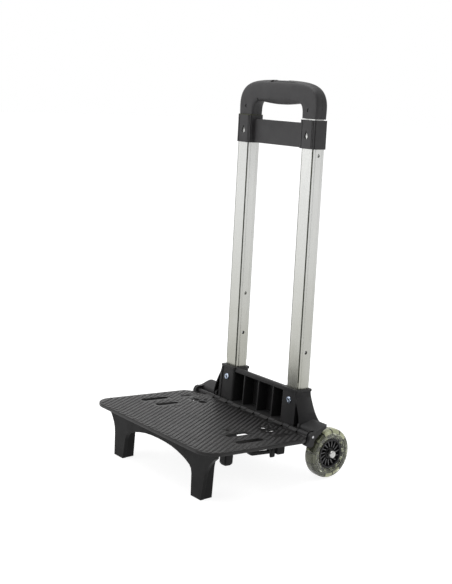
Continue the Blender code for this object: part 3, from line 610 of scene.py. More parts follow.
# front legs: one dark moulding with an arched apron
half = [(-138.0, -5.2), (-136.5, -12.5), (-131.0, -17.5), (-125.5, -23.5), (-120.5, -30.5), (-117.5, -37.0),
        (-115.5, -45.0), (-111.2, -86.0), (-89.0, -86.0), (-85.6, -49.0), (-83.5, -42.0), (-79.0, -37.0),
        (-70.0, -32.8), (-60.0, -29.4), (-48.0, -26.2), (-34.0, -23.6), (-18.0, -22.1)]
profile = half + [(0.0, -21.7)] + [(-x, z) for x, z in reversed(half)]
profile = [(x, z - (0.7 if abs(x) < 84 and z > -40 else 0.0)) for x, z in profile]
legs = prism(profile, 'y', -178.6, -172.6)
gussets = []
for sx in (-1, 1):
    gussets.append(prism([(-173.5, -86.0), (-157.8, -86.0), (-157.8, -34.0), (-156.3, -23.0), (-152.5, -16.0), (-148.0, -11.0),
                          (-146.0, -5.2), (-173.5, -5.2)], 'x', min(sx * 89.2, sx * 111.0), max(sx * 89.2, sx * 111.0)))
flange = box(-137.0, 137.0, -173.5, -150.0, -7.6, -5.2)
legs = union([legs, flange] + gussets)
floor_cut = box(-200, 200, -260, 100, -60, 0)
floor_cut.transform(Matrix.Rotation(PITCH, 4, 'X') @ Matrix.Translation((0, 0, -FLOOR)))
legs = cut(legs, [floor_cut])
node('front_leg_frame', legs, DECK_FRAME, DARK, 0.55, origin=HINGE_DECK)

# stub feet behind the legs
for sx, nm in ((-1, 'left'), (1, 'right')):
    st = loft([place(rrect(sx * 93 - 7.2, sx * 93 + 7.2, -129.5, -114.5, 2.0, 3), 'z', -2.5),
               place(rrect(sx * 93 - 7.2, sx * 93 + 7.2, -129.5, -114.5, 2.0, 3), 'z', -38.0),
               place(rrect(sx * 93 - 5.4, sx * 93 + 5.4, -127.5, -116.5, 2.0, 3), 'z', -41.0)])
    node('stub_foot_' + nm, st, DECK_FRAME, DARK, 0.6, origin=HINGE_DECK)

# strap loops under the side edges
for sx, nm in ((-1, 'left'), (1, 'right')):
    outer = [(-122.5, -2.5), (-121.0, -9.0), (-111.5, -16.4), (-108.0, -17.6), (-73.5, -18.6), (-72.0, -16.8), (-72.0, -2.5)]
    inner = [(-116.0, -6.6), (-108.5, -13.6), (-76.0, -14.8), (-76.0, -6.6)]
    lp = prism(outer, 'x', sx * 130 - 3.0, sx * 130 + 3.0)
    lp = cut(lp, [prism(inner, 'x', sx * 130 - 5.0, sx * 130 + 5.0)])
    node('strap_loop_' + nm, lp, DECK_FRAME, DARK, 0.6, origin=HINGE_DECK)

# small hooked lever on a pin in a housing, under the right edge
LATCH_X, LATCH_Z = 130.0, -12.0
hs = prism(rrect(-62.5, -48.5, -21.0, -2.5, 1.5, 3), 'x', LATCH_X - 6.0, LATCH_X + 6.0)
hs = cut(hs, [cyl('y', LATCH_X, LATCH_Z, 1.8, -66.0, -56.0, 12)])
node('latch_housing', hs, DECK_FRAME, DARK, 0.6, origin=HINGE_DECK)
node('latch_pin', cyl('y', LATCH_X, LATCH_Z, 1.5, -71.0, -56.4, 12), DECK_FRAME, STEEL, 0.3, 1.0, origin=(LATCH_X, -63.0, LATCH_Z))
lev = [(LATCH_X + 3.8 * math.cos(math.radians(a)), LATCH_Z + 3.8 * math.sin(math.radians(a))) for a in range(-30, 211, 6)]
lev += [(LATCH_X + 2.4 * math.cos(math.radians(a)), LATCH_Z - 11.5 + 2.4 * math.sin(math.radians(a))) for a in range(190, 351, 8)]
lever = prism(lev, 'y', -69.8, -63.8)
lever = cut(lever, [cyl('y', LATCH_X, LATCH_Z, 1.8, -72.0, -60.0, 12)])
node('latch_lever', lever, DECK_FRAME, DARK, 0.5, origin=(LATCH_X, -66.8, LATCH_Z))

# ------------------------------------------------------------------ base bracket
panel = prism([(7.0, -6.0), (33.0, -6.0), (33.0, 48.5), (15.5, 56.6), (11.5, 57.0), (9.8, 56.2), (9.0, 54.4), (9.0, 50.3),
               (13.0, 50.3), (30.4, 44.5), (30.4, 1.5), (7.0, 1.5)], 'x', -62.0, 62.0)
ribs = [prism([(10.0, 0.5), (31.5, 0.5), (31.5, 45.5), (13.0, 52.0), (10.0, 52.0)], 'x', rx - 1.2, rx + 1.2) for rx in (-35.0, 0.0, 35.0)]
solids = [panel] + ribs
for sx in (-1, 1):
    def X(a, b):
        return (min(sx * a, sx * b), max(sx * a, sx * b))
    x0, x1 = X(59.4, 91.6)
    solids.append(loft([place(rrect(x0, x1, 7.0, 41.0, 3.0, 3), 'z', -6.0), place(rrect(x0, x1, 7.0, 38.4, 3.0, 3), 'z', 57.0)]))
    x0, x1 = X(58.0, 92.6)
    solids.append(prism(rrect(x0, x1, 5.8, 39.2, 3.0, 3), 'z', 53.8, 57.3))
    # flared side wall
    levels = [(-6.0, 108.5, 119.2), (0.0, 108.0, 119.2), (5.0, 107.4, 119.2), (9.0, 106.8, 119.2), (12.0, 106.2, 118.0), (16.0, 105.2, 113.0),
              (22.0, 103.5, 107.6), (30.0, 100.5, 102.2), (38.0, 96.6, 97.8), (44.0, 93.6, 94.8), (50.0, 91.9, 92.8), (53.0, 91.4, 92.2)]
    rings = []
    prings = []
    for z, xf, xb in cr(levels, 4):
        xm = 0.55 * xf + 0.45 * xb + 0.6
        pts = [(88.0, 5.8), (xf - 1.5, 5.8), (xf, 7.6), (xm, 21.0), (xb, 35.5), (xb - 2.0, 38.2), (88.0, 38.2)]
        rings.append([(sx * p[0], p[1], z) for p in pts])
        t = 2.6
        pp = [(92.8, -2.0), (max(xf - t, 93.2), -2.0), (max(xf - t, 93.2), 6.5), (max(xm - t, 93.4), 21.0), (max(xb - t - 1.5, 93.6), 33.5), (92.8, 33.5)]
        if 0.0 < z < 46.0:
            prings.append([(sx * p[0], p[1], z) for p in pp])
    wall = loft(rings)
    wall = cut(wall, [loft(prings)])
    solids.append(wall)
    # block at the foot of the side wall, mudguard over the tyre, ear plate with the hinge boss, arm with the axle boss
    foot = [(7.0, -5.0)] + cr([(7.0, 6.0), (9.0, 8.6), (14.0, 11.0), (22.0, 14.2), (28.0, 15.6), (33.0, 14.0), (37.0, 8.0), (38.0, 4.0)], 5) + [(38.0, -5.0)]
    x0, x1 = X(100.0, 119.2)
    solids.append(prism(foot, 'x', x0, x1))
    def under(r, y):
        return WHEEL_Z + math.sqrt(r * r - (y - WHEEL_Y) ** 2)
    wing = [(6.6, under(44.3, 6.6))] + cr([(7.0, 6.0), (9.0, 8.6), (14.0, 11.0), (22.0, 14.2), (28.0, 15.6), (30.2, 15.2), (30.6, under(44.3, 30.6))], 5)
    wing += [(yy, under(44.3, yy)) for yy in (29.0, 27.5, 26.0, 24.5, 23.0, 21.0, 19.5, 18.0, 16.0, 14.0, 12.0, 10.5, 9.0, 7.6)]
    x0, x1 = X(116.0, 143.0)
    solids.append(prism(wing, 'x', x0, x1))
    ear = [(8.4 * math.cos(math.radians(a)), HINGE_Z + 8.4 * math.sin(math.radians(a))) for a in range(70, 196, 4)]
    ear += [(-8.6, -8.0), (-7.0, -14.0), (-3.8, -18.6), (-0.8, -21.6), (1.6, -22.4), (3.0, -21.6), (5.0, -16.0), (8.3, -9.2), (11.3, -5.0),
            (15.5, -1.0), (19.0, 7.0), (14.0, 11.0), (8.0, 8.8)]
    x0, x1 = X(136.0, 143.0)
    if sx > 0:
        hook = [(6.4 * math.cos(math.radians(a)), HINGE_Z + 6.4 * math.sin(math.radians(a))) for a in range(62, 203, 6)]
        hook += cr([(-6.6, -4.0), (-9.0, -7.4), (-12.6, -8.8), (-13.4, -11.2), (-10.0, -13.4), (-4.5, -15.0), (0.6, -15.0), (2.8, -12.6), (3.8, -8.0), (5.8, -3.0)], 4)
        hook += [(8.6, 1.0), (15.5, 2.6), (19.0, 7.0), (14.0, 11.0), (8.0, 8.8)]
        solids.append(prism(hook, 'x', 136.0, 143.0))
    else:
        solids.append(prism(ear, 'x', x0, x1))
    arm = [(16.0, -3.0), (38.0, -3.0), (48.5, -18.0)]
    arm += [(WHEEL_Y + 9.6 * math.cos(math.radians(a)), WHEEL_Z + 9.6 * math.sin(math.radians(a))) for a in range(18, -163, -5)]
    x0, x1 = X(112.2, 119.2)
    solids.append(prism(arm, 'x', x0, x1))
    nose = [[(sx * xx, r * math.cos(math.radians(a)), HINGE_Z + r * math.sin(math.radians(a))) for a in range(0, 360, 5)]
            for xx, r in ((136.6, 6.0 if sx > 0 else 8.0), (143.0, 6.0 if sx > 0 else 8.3))]
    solids.append(loft(nose))
for kx in (-85.0, -51.0, -17.0, 17.0, 51.0, 85.0):
    solids.append(prism(circle(0.0, HINGE_Z, KNUCKLE_R, 12), 'x', kx - 6.4, kx + 6.4))
    solids.append(prism([(0.0, -2.7), (8.0, -4.5), (8.0, 0.6), (2.8, 2.9), (0.0, 3.2)], 'x', kx - 6.0, kx + 6.0))
for sx in (-1, 1):
    a, b = min(sx * 112.4, sx * 137.0), max(sx * 112.4, sx * 137.0)
    solids.append(prism(circle(0.0, HINGE_Z, KNUCKLE_R, 12), 'x', a, b))
    solids.append(prism([(0.0, -2.7), (8.0, -4.5), (8.0, 0.6), (2.8, 2.9), (0.0, 3.2)], 'x', a + 0.4, b - 0.4))
    solids.append(prism([(2.2, -10.0), (7.4, -10.0), (8.0, -2.5), (2.2, -2.5)], 'x', min(sx * 119.6, sx * 136.6), max(sx * 119.6, sx * 136.6)))
chassis = union(solids)
tools = [cyl('x', 0.0, HINGE_Z, ROD_R + GAP, -160, 160, 12), cyl('x', WHEEL_Y, WHEEL_Z, AXLE_R + GAP, -125, 125, 14)]
for sx in (-1, 1):
    bore = prism(shift(stepped(TUBE_A + GAP, TUBE_B + GAP), sx * TUBE_X), 'z', TUBE_S0 - GAP, 75.0)
    bore.transform(Matrix.Translation((0.0, TUBE_Y0, 0.0)) @ Matrix.Rotation(TUBE_LEAN, 4, 'X'))
    tools.append(bore)
    tools.append(cyl('y', sx * 76.0, 39.0, 2.5, 0.0, 11.5, 14))
    corner = [(sx * (135.4 + 8.0 * math.cos(math.radians(q))), 23.0 + 8.0 * math.sin(math.radians(q))) for q in range(0, 91, 9)]
    tools.append(prism(corner + [(sx * 135.4, 33.0), (sx * 145.0, 33.0), (sx * 145.0, 23.0)], 'z', -10.0, 30.0))
chassis = cut(chassis, tools)
node('chassis_bracket', chassis, DECK_FRAME, PLASTIC, 0.5)

for sx, nm in ((-1, 'left'), (1, 'right')):
    rivet = turned([(1.7, 5.9), (2.4, 5.3), (4.4, 5.5), (5.0, 6.1), (5.0, 6.7), (2.2, 6.7), (2.2, 11.0)], 'y', sx * 76.0, 39.0, 14, ring=False)
    node('chassis_rivet_' + nm, rivet, DECK_FRAME, STEEL, 0.25, 1.0)

# the hinge rod takes the blackened-steel material so the gaps between the knuckles look dark: painted shade
node('hinge_rod', turned([(1.6, -143.6), (ROD_R, -142.9), (ROD_R, 142.9), (1.6, 143.6)], 'x', 0.0, HINGE_Z, 12, ring=False),
     DECK_FRAME, STEEL, 0.3, 1.0, origin=HINGE_DECK)

# ------------------------------------------------------------------ tubes and top bracket
for sx, nm in ((-1, 'left'), (1, 'right')):
    cx = sx * TUBE_X
    t = prism(shift(grooved(TUBE_A, TUBE_B), cx), 'z', TUBE_S0, TUBE_S1)
    # dark strips laid in the four corner grooves of each tube: painted shade
    groove_shade_strips = group([prism(shift([(qx * (TUBE_A - 2.15), qy * (TUBE_B - 1.25)), (qx * (TUBE_A - 0.95), qy * (TUBE_B - 1.25)), (qx * (TUBE_A - 0.95), qy * (TUBE_B - 0.45)), (qx * (TUBE_A - 2.15), qy * (TUBE_B - 0.45))], cx), 'z', TUBE_S0 + 60.0, TUBE_S1 - 20.0) for qx in (-1, 1) for qy in (-1, 1)])
    piece('v_tube_groove_shade_' + nm, groove_shade_strips, BODY_OF['outer_tube_' + nm], MAT['olive'], TUBE_FRAME, 30.0)
    holes = [prism(rrect(cx - CAV_A, cx + CAV_A, -CAV_B, CAV_B, 1.0, 2), 'z', TUBE_S0 - 5, TUBE_S1 + 5),
             cyl('x', 0.0, LOCK_S, 2.7, cx + 5.0, cx + 20.0, 14),
             cyl('x', 0.0, HOLE_LEFT_S if sx < 0 else HOLE_RIGHT_S, 2.7, cx + 5.0, cx + 20.0, 14)]
    t = cut(t, holes)
    node('outer_tube_' + nm, t, TUBE_FRAME, ALU, 0.35, 1.0)
    t = prism(rrect(cx - INN_A, cx + INN_A, -INN_B, INN_B, 1.3, 2), 'z', INN_S0, INN_S1)
    holes = [prism(rrect(cx - INN_CA, cx + INN_CA, -INN_CB, INN_CB, 0.8, 2), 'z', INN_S0 - 5, INN_S1 + 5),
             cyl('x', 0.0, LOCK_S, 2.5, cx + 5.0, cx + 20.0, 14),
             cyl('y', sx * 72.5, SCREW_S, 1.5, -15.0, -4.0, 10)]
    t = cut(t, holes)
    node('inner_tube_' + nm, t, TUBE_FRAME, ALU, 0.3, 1.0)
    # plastic guide: flange that runs in the outer tube, plug in the inner tube
    g = union([prism(rrect(cx - 11.1, cx + 11.1, -9.9, 9.9, 0.8, 2), 'z', 92.0, INN_S0 - GAP),
               prism(rrect(cx - INN_CA + GAP, cx + INN_CA - GAP, -INN_CB + GAP, INN_CB - GAP, 0.6, 2), 'z', 99.0, 130.0)])
    g = cut(g, [cyl('x', 0.0, LOCK_S, 2.5, cx - 5.5, cx + 20.0, 14), cyl('z', cx, 0.0, 2.1, 110.0, 140.0, 12)])
    node('tube_guide_' + nm, g, TUBE_FRAME, DARK, 0.6)
    p = turned([(1.2, cx - 1.5), (2.2, cx - 1.0), (2.2, cx + 10.3), (1.4, cx + 11.1)], 'x', 0.0, LOCK_S, 14, ring=False)
    node('lock_pin_' + nm, p, TUBE_FRAME, STEEL, 0.25, 1.0, origin=(cx, 0.0, LOCK_S))

sleeves = []
for sx in (-1, 1):
    sleeves.append(prism(shift(ribbed(SLEEVE_A + 1.3, SLEEVE_B, 0.9, 3.2), sx * (TUBE_X - 1.3)), 'z', SLEEVE_S0, SLEEVE_S1))
bar = prism(rrect(-62.5, 62.5, -4.2, 7.5, 1.0, 2), 'z', 426.0, 463.2)
bracket = union(sleeves + [bar])
tools = []
for sx in (-1, 1):
    cx = sx * TUBE_X
    tools.append(prism(shift(stepped(TUBE_A + GAP, TUBE_B + GAP), cx), 'z', 420.0, TUBE_S1 + GAP))
    tools.append(prism(rrect(cx - INN_A - 0.4, cx + INN_A + 0.4, -INN_B - 0.4, INN_B + 0.4, 1.0, 2), 'z', 440.0, 480.0))
    # teardrop window in the front wall
    r0, zc, tip = 3.6, 443.6, 453.0
    d = tip - zc
    a0 = math.degrees(math.acos(r0 / d))
    tear = [(sx * 73.6 - 1.0, tip)]
    tear += [(sx * 73.6 - 1.0 + r0 * math.cos(math.radians(a)), zc + r0 * math.sin(math.radians(a)))
             for a in [90 + a0 + (360 - 2 * a0) * i / 12.0 for i in range(13)]]
    tools.append(prism(tear, 'y', -16.0, -11.5))
bracket = cut(bracket, tools)
node('top_bracket', bracket, TUBE_FRAME, CHARCOAL, 0.5)

# ------------------------------------------------------------------ handle
OUTER = [(0.0, 526.4), (15.0, 526.2), (30.0, 525.8), (45.0, 524.9), (58.0, 523.2), (69.0, 520.2), (78.0, 515.4),
         (84.6, 508.6), (88.6, 500.0), (90.2, 491.0), (90.2, 481.0), (89.6, HANDLE_S0)]
INNER = [(0.0, 488.6), (11.0, 488.8), (22.0, 489.4), (33.0, 490.4), (42.0, 491.4), (48.0, 491.9), (52.5, 490.9),
         (56.0, 488.6), (58.4, 485.4), (59.8, 481.4), (60.4, 476.4), (60.6, HANDLE_S0)]
DEPTH = [12.4, 12.4, 12.3, 12.2, 12.1, 12.0, 11.9, 11.8, 11.8, 11.8, 11.8, 11.8]
BOXY = [2.6, 2.6, 2.7, 2.9, 3.2, 3.7, 4.4, 5.4, 6.6, 7.5, 8.0, 8.0]
SECT = 72


def handle_ring(po, pi, d, e):
    c = ((po[0] + pi[0]) / 2, (po[1] + pi[1]) / 2)
    h = ((po[0] - pi[0]) / 2, (po[1] - pi[1]) / 2)
    out = []
    for i in range(SECT):
        a = 2 * math.pi * (i + 0.5) / SECT
        ca, sa = math.cos(a), math.sin(a)
        u = math.copysign(abs(ca) ** (2 / e), ca)
        w = math.copysign(abs(sa) ** (2 / e), sa)
        out.append((c[0] + h[0] * u, d * w, c[1] + h[1] * u))
    return out


rings = [handle_ring(r[0:2], (r[2] * 0.96, r[3]), r[4], r[5]) for r in cr([tuple(o) + tuple(i) + (d, e) for o, i, d, e in zip(OUTER, INNER, DEPTH, BOXY)], 6)]
left = [[(-p[0], p[1], p[2]) for p in r] for r in rings[1:]]
body = loft(list(reversed(left)) + rings)
tools = []
for sx in (-1, 1):
    cx = sx * TUBE_X
    tools.append(prism(rrect(cx - INN_A - GAP, cx + INN_A + GAP, -INN_B - GAP, INN_B + GAP, 1.3, 2), 'z', 460.0, INN_S1 + GAP))
    tools.append(cyl('z', cx, 0.0, 2.6, 480.0, 497.0, 12))
    tools.append(cyl('y', sx * 72.5, SCREW_S, 2.9, -16.0, -8.0, 14))
tools.append(box(-78.2, 78.2, -3.4, 3.4, 494.9, 504.9))
tools.append(box(-16.4, 16.4, -5.9, 5.9, 499.0, 540.0))
tools.append(box(-4.6, 4.6, -4.6, 4.6, 491.8, 500.0))
# finger recess at the button's left end, seam along the front shoulder, facet under the grip
tools.append(box(-20.5, -14.5, -8.8, -2.0, 519.8, 540.0))
tools.append(box(-15.0, 37.0, -8.5, -7.6, 521.4, 540.0))
tools.append(prism([(-24.6, 510.6), (5.4, 480.6), (-1.7, 473.5), (-31.7, 503.5)], 'x', -48.5, 48.5))
body = cut(body, tools)
front = boolean(body, [box(-120, 120, -40, -0.15, 440, 560)], 'INTERSECT')
rear = boolean(body, [box(-120, 120, 0.15, 40, 440, 560)], 'INTERSECT')
node('handle_front_shell', front, TUBE_FRAME, CHARCOAL, 0.45)
node('handle_rear_shell', rear, TUBE_FRAME, CHARCOAL, 0.45)
for sx, nm in ((-1, 'left'), (1, 'right')):
    screw = turned([(1.0, -11.0), (1.3, -11.4), (2.5, -11.1), (2.5, -10.0), (1.2, -10.0), (1.2, -7.0)], 'y', sx * 72.5, SCREW_S, 14, ring=False)
    node('handle_screw_' + nm, screw, TUBE_FRAME, STEEL, 0.3, 1.0)

# button: slightly dished cap, its foot on the crossbar
cap = []
for x, s_top in ((-11.8, 522.6), (-11.6, 524.2), (-11.0, 525.1), (-10.0, 525.6), (-6.0, 525.6), (0.0, 525.5), (6.0, 525.6), (14.0, 525.6), (15.2, 525.2), (15.9, 524.2)):
    cap.append([(x, -5.5, 505.2), (x, 5.5, 505.2), (x, 5.5, s_top - 1.6), (x, 5.2, s_top - 0.7), (x, 4.4, s_top - 0.15), (x, 3.2, s_top), (x, -3.2, s_top), (x, -4.4, s_top - 0.15), (x, -5.2, s_top - 0.7), (x, -5.5, s_top - 1.6)])
node('handle_button', loft(cap), TUBE_FRAME, DARK, 0.45, origin=(0.0, 0.0, 524.0))
node('lock_crossbar', box(-77.8, 77.8, -3.0, 3.0, 499.6, 504.6), TUBE_FRAME, DARK, 0.6, origin=(0.0, 0.0, 504.6))
for sx, nm in ((-1, 'left'), (1, 'right')):
    node('lock_rod_' + nm, cyl('z', sx * TUBE_X, 0.0, 1.7, 121.8, 499.2, 10), TUBE_FRAME, STEEL, 0.35, 1.0, origin=(sx * TUBE_X, 0.0, 499.2))

# coil spring under the crossbar
TURNS, STEPS, COIL_R, WIRE_R = 3.0, 32, 3.2, 0.55
rings = []
count = int(TURNS * STEPS)
s_lo, s_hi = 492.3 + WIRE_R, 499.2 - WIRE_R
for i in range(count + 1):
    a = 2 * math.pi * i / STEPS
    c = Vector((COIL_R * math.cos(a), COIL_R * math.sin(a), s_lo + (s_hi - s_lo) * i / count))
    radial = Vector((math.cos(a), math.sin(a), 0.0))
    rings.append([tuple(c + radial * (WIRE_R * math.cos(b)) + Vector((0, 0, 1)) * (WIRE_R * math.sin(b)))
                  for b in [2 * math.pi * k / 12 for k in range(12)]])
node('button_spring', loft(rings), TUBE_FRAME, STEEL, 0.3, 1.0, sharp=60.0)

# ------------------------------------------------------------------ axle and wheels
node('axle_rod', turned([(2.4, -143.8), (AXLE_R, -143.2), (AXLE_R, 143.2), (2.4, 143.8)], 'x', WHEEL_Y, WHEEL_Z, 14, ring=False),
     DECK_FRAME, STEEL, 0.3, 1.0, origin=(0.0, WHEEL_Y, WHEEL_Z))

OUT = WHEEL_X - 156.8   # wheel profiles below are drawn about x = 156.8
for sx, nm in ((-1, 'left'), (1, 'right')):
    def H(p):
        return [(r * 1.022 if r > 15.0 else r, sx * (x + OUT)) for r, x in p]
    centre = (sx * WHEEL_X, WHEEL_Y, WHEEL_Z)
    spacer = turned(H([(3.3, 143.3), (5.6, 143.3), (5.6, 146.9), (3.3, 146.9)]), 'x', WHEEL_Y, WHEEL_Z, 14)
    node('axle_spacer_' + nm, spacer, DECK_FRAME, DARK, 0.5)
    # hub: rim ring, barrel with a bearing seat, thin blades between them
    rim = turned(H([(19.6, 148.0), (22.9, 148.0), (22.9, 164.6), (22.1, 165.9), (19.9, 165.9), (19.0, 164.6), (19.0, 149.5)]), 'x', WHEEL_Y, WHEEL_Z, WHEEL_SEG)
    barrel = turned(H([(3.4, 154.3), (8.3, 154.3), (8.3, 147.2), (9.8, 147.2), (9.8, 155.0), (8.4, 162.6), (7.4, 163.6), (3.4, 163.6)]), 'x', WHEEL_Y, WHEEL_Z, 15)
    blades = []
    for i in range(SPOKES):
        a = 2 * math.pi * i / SPOKES
        sweep = math.radians(10.0) * sx
        pts = []
        for r, k in ((9.0, 0.0), (11.0, 0.16), (13.0, 0.34), (15.0, 0.54), (17.0, 0.74), (18.5, 0.87), (20.0, 1.0)):
            b = a + sweep * k
            pts.append((r * math.cos(b), r * math.sin(b)))
        def offset(t):
            out = []
            for j, p in enumerate(pts):
                q = pts[min(j + 1, len(pts) - 1)]
                o = pts[max(j - 1, 0)]
                d = Vector((q[0] - o[0], q[1] - o[1])).normalized()
                out.append((WHEEL_Y + p[0] - d.y * t, WHEEL_Z + p[1] + d.x * t))
            return out
        blades.append(prism(offset(0.65) + list(reversed(offset(-0.65))), 'x', min(sx * (150.5 + OUT), sx * (163.0 + OUT)), max(sx * (150.5 + OUT), sx * (163.0 + OUT))))
    hub = union([rim, barrel, group(blades)])
    node('wheel_hub_' + nm, hub, DECK_FRAME, DARK, 0.4, origin=centre)
    brg = turned(H([(3.3, 147.4), (8.0, 147.4), (8.0, 154.0), (3.3, 154.0)]), 'x', WHEEL_Y, WHEEL_Z, 15)
    node('wheel_bearing_' + nm, brg, DECK_FRAME, STEEL, 0.3, 1.0, origin=centre)
    # core ring with a notch between its segments
    n = 12
    core = turned(H([(23.4, 151.0), (28.8, 151.0), (28.8, 162.6), (23.4, 162.6)]), 'x', WHEEL_Y, WHEEL_Z, 36)
    notches = []
    for i in range(n):
        a = 2 * math.pi * (i + 0.5) / n
        c, s = math.cos(a), math.sin(a)
        q = []
        for r, t in ((26.6, -1.1), (31.6, -1.1), (31.6, 1.1), (26.6, 1.1)):
            q.append((WHEEL_Y + r * c - t * s, WHEEL_Z + r * s + t * c))
        notches.append(prism(q, 'x', min(sx * (148 + OUT), sx * (166 + OUT)), max(sx * (148 + OUT), sx * (166 + OUT))))
    core = cut(core, [group(notches)])
    node('wheel_core_' + nm, core, DECK_FRAME, (0.35, 0.36, 0.25), 0.3, origin=centre)
    w = WHEEL_HALF_W
    prof = [(23.2, -8.6), (27.5, -w + 0.3), (32.5, -w), (35.2, -9.2), (36.7, -6.2), (WHEEL_R / 1.022, -2.6), (WHEEL_R / 1.022, 2.6), (36.7, 6.2),
            (35.2, 9.2), (32.5, w), (27.5, w - 0.3), (23.2, 8.6), (23.2, 6.2), (29.2, 6.2), (29.2, -6.2), (23.2, -6.2)]
    prof = cr(prof[:12], 4)[:-1] + prof[11:]
    tyre = turned(H([(r, WHEEL_X - OUT + x) for r, x in prof]), 'x', WHEEL_Y, WHEEL_Z, WHEEL_SEG)
    node('wheel_tyre_' + nm, tyre, DECK_FRAME, (0.72, 0.75, 0.62), 0.2, origin=centre)
    cap = turned(H([(3.3, 168.0), (3.3, 164.2), (5.6, 164.2), (6.1, 165.4), (6.0, 169.4), (5.0, 171.0), (2.6, 171.8)]), 'x', WHEEL_Y, WHEEL_Z, 16, ring=False)
    node('axle_cap_' + nm, cap, DECK_FRAME, STEEL, 0.2, 1.0)


# ------------------------------------------------------------------ tread on the platform
def lozenge(cx, cy, ang, la, wa, h, z0=-0.05):
    """A low rubbed pyramid with a flat top; la along the row, wa across it."""
    ca, sa = math.cos(ang), math.sin(ang)
    def ring(k, z):
        out = []
        for u, v in ((-1, -0.55), (-0.6, -1), (0.6, -1), (1, -0.55), (1, 0.55), (0.6, 1), (-0.6, 1), (-1, 0.55)):
            x, y = u * la * k / 2, v * wa * k / 2
            out.append((cx + x * ca - y * sa, cy + x * sa + y * ca, z))
        return out
    return [ring(1.0, z0), ring(0.94, h * 0.55), ring(0.62, h)]


def clear_of_edges(x, y):
    ax = abs(x)
    if ax > DECK_HALF_W - 3.6 or y < -DECK_L + 3.6 or y > -13.0:
        return False
    for ccx, ccy, rr in ((DECK_HALF_W - 31.0, -DECK_L + 31.0, 31.0), (DECK_HALF_W - 22.5, -30.5, 22.5)):
        out_y = y < ccy if rr > 30 else y > ccy
        if ax > ccx and out_y and math.hypot(ax - ccx, y - ccy) > rr - 3.6:
            return False
    for cx, y0, y1, w in SLOTS:
        if abs(ax - cx) < w / 2 + 3.4 and y0 - 3.4 < y < y1 + 3.4:
            return False
    for cx, cy, r in RINGS:
        if math.hypot(ax - cx, y - cy) < r + 2.6:
            return False
    return True


RINGS = [(75.5, -40.0, 7.3), (92.0, -41.0, 6.6), (72.0, -19.0, 4.6), (85.0, -27.0, 3.6)]
tread = bmesh.new()
ROW_DIR = math.radians(-58.0)
ROW_GAP, ALONG = 7.0, 5.0
dx, dy = math.cos(ROW_DIR), math.sin(ROW_DIR)
px, py = -dy, dx
for i in range(-40, 41):
    for j in range(-60, 61):
        u = i * ROW_GAP
        v = (j + 0.5 * (i % 2)) * ALONG
        x = u * px + v * dx
        y = -100.0 + u * py + v * dy
        if not clear_of_edges(x, y):
            continue
        rs = [[tread.verts.new(p) for p in r] for r in lozenge(x, y, ROW_DIR, 4.4, 4.7, 0.78)]
        for a, b in zip(rs, rs[1:]):
            for q in range(8):
                k = (q + 1) % 8
                tread.faces.new((a[q], a[k], b[k], b[q]))
        tread.faces.new(list(reversed(rs[0])))
        tread.faces.new(rs[-1])
piece('v_deck_tread', tread, BODY_OF['deck_platform'], MAT['tread'], DECK_FRAME, 25.0)

# raised rims round the small anchor holes at the rear corners
rims = bmesh.new()
for sx in (-1, 1):
    for cx, cy, r in RINGS:
        rows = []
        for rr, z in ((r, -0.1), (r - 0.25, 0.45), (r - 0.6, 0.65), (r - 1.0, 0.65), (r - 1.35, 0.35), (r - 1.4, -0.1)):
            rows.append([rims.verts.new((sx * cx + rr * math.cos(2 * math.pi * q / 32), cy + rr * math.sin(2 * math.pi * q / 32), z)) for q in range(32)])
        for i in range(6):
            a, b = rows[i], rows[(i + 1) % 6]
            for q in range(32):
                k = (q + 1) % 32
                rims.faces.new((a[q], a[k], b[k], b[q]))
piece('v_deck_rims', rims, BODY_OF['deck_platform'], MAT['bracket'], DECK_FRAME, 40.0)


# ------------------------------------------------------------------ moulded segments seen inside the clear tyres
def arc_block(bm, r0, r1, a0, a1, x0, x1, n=6, taper=0.0):
    """A curved block about the wheel axis, a little narrower at its outer face."""
    rows = []
    for i in range(n + 1):
        a = a0 + (a1 - a0) * i / n
        row = []
        for r, x in ((r0, x0), (r1, x0 + taper), (r1, x1 - taper), (r0, x1)):
            row.append(bm.verts.new((x, WHEEL_Y + r * math.cos(a), WHEEL_Z + r * math.sin(a))))
        rows.append(row)
    for u, v in zip(rows, rows[1:]):
        for q in range(4):
            k = (q + 1) % 4
            bm.faces.new((u[q], u[k], v[k], v[q]))
    bm.faces.new(rows[0])
    bm.faces.new(list(reversed(rows[-1])))


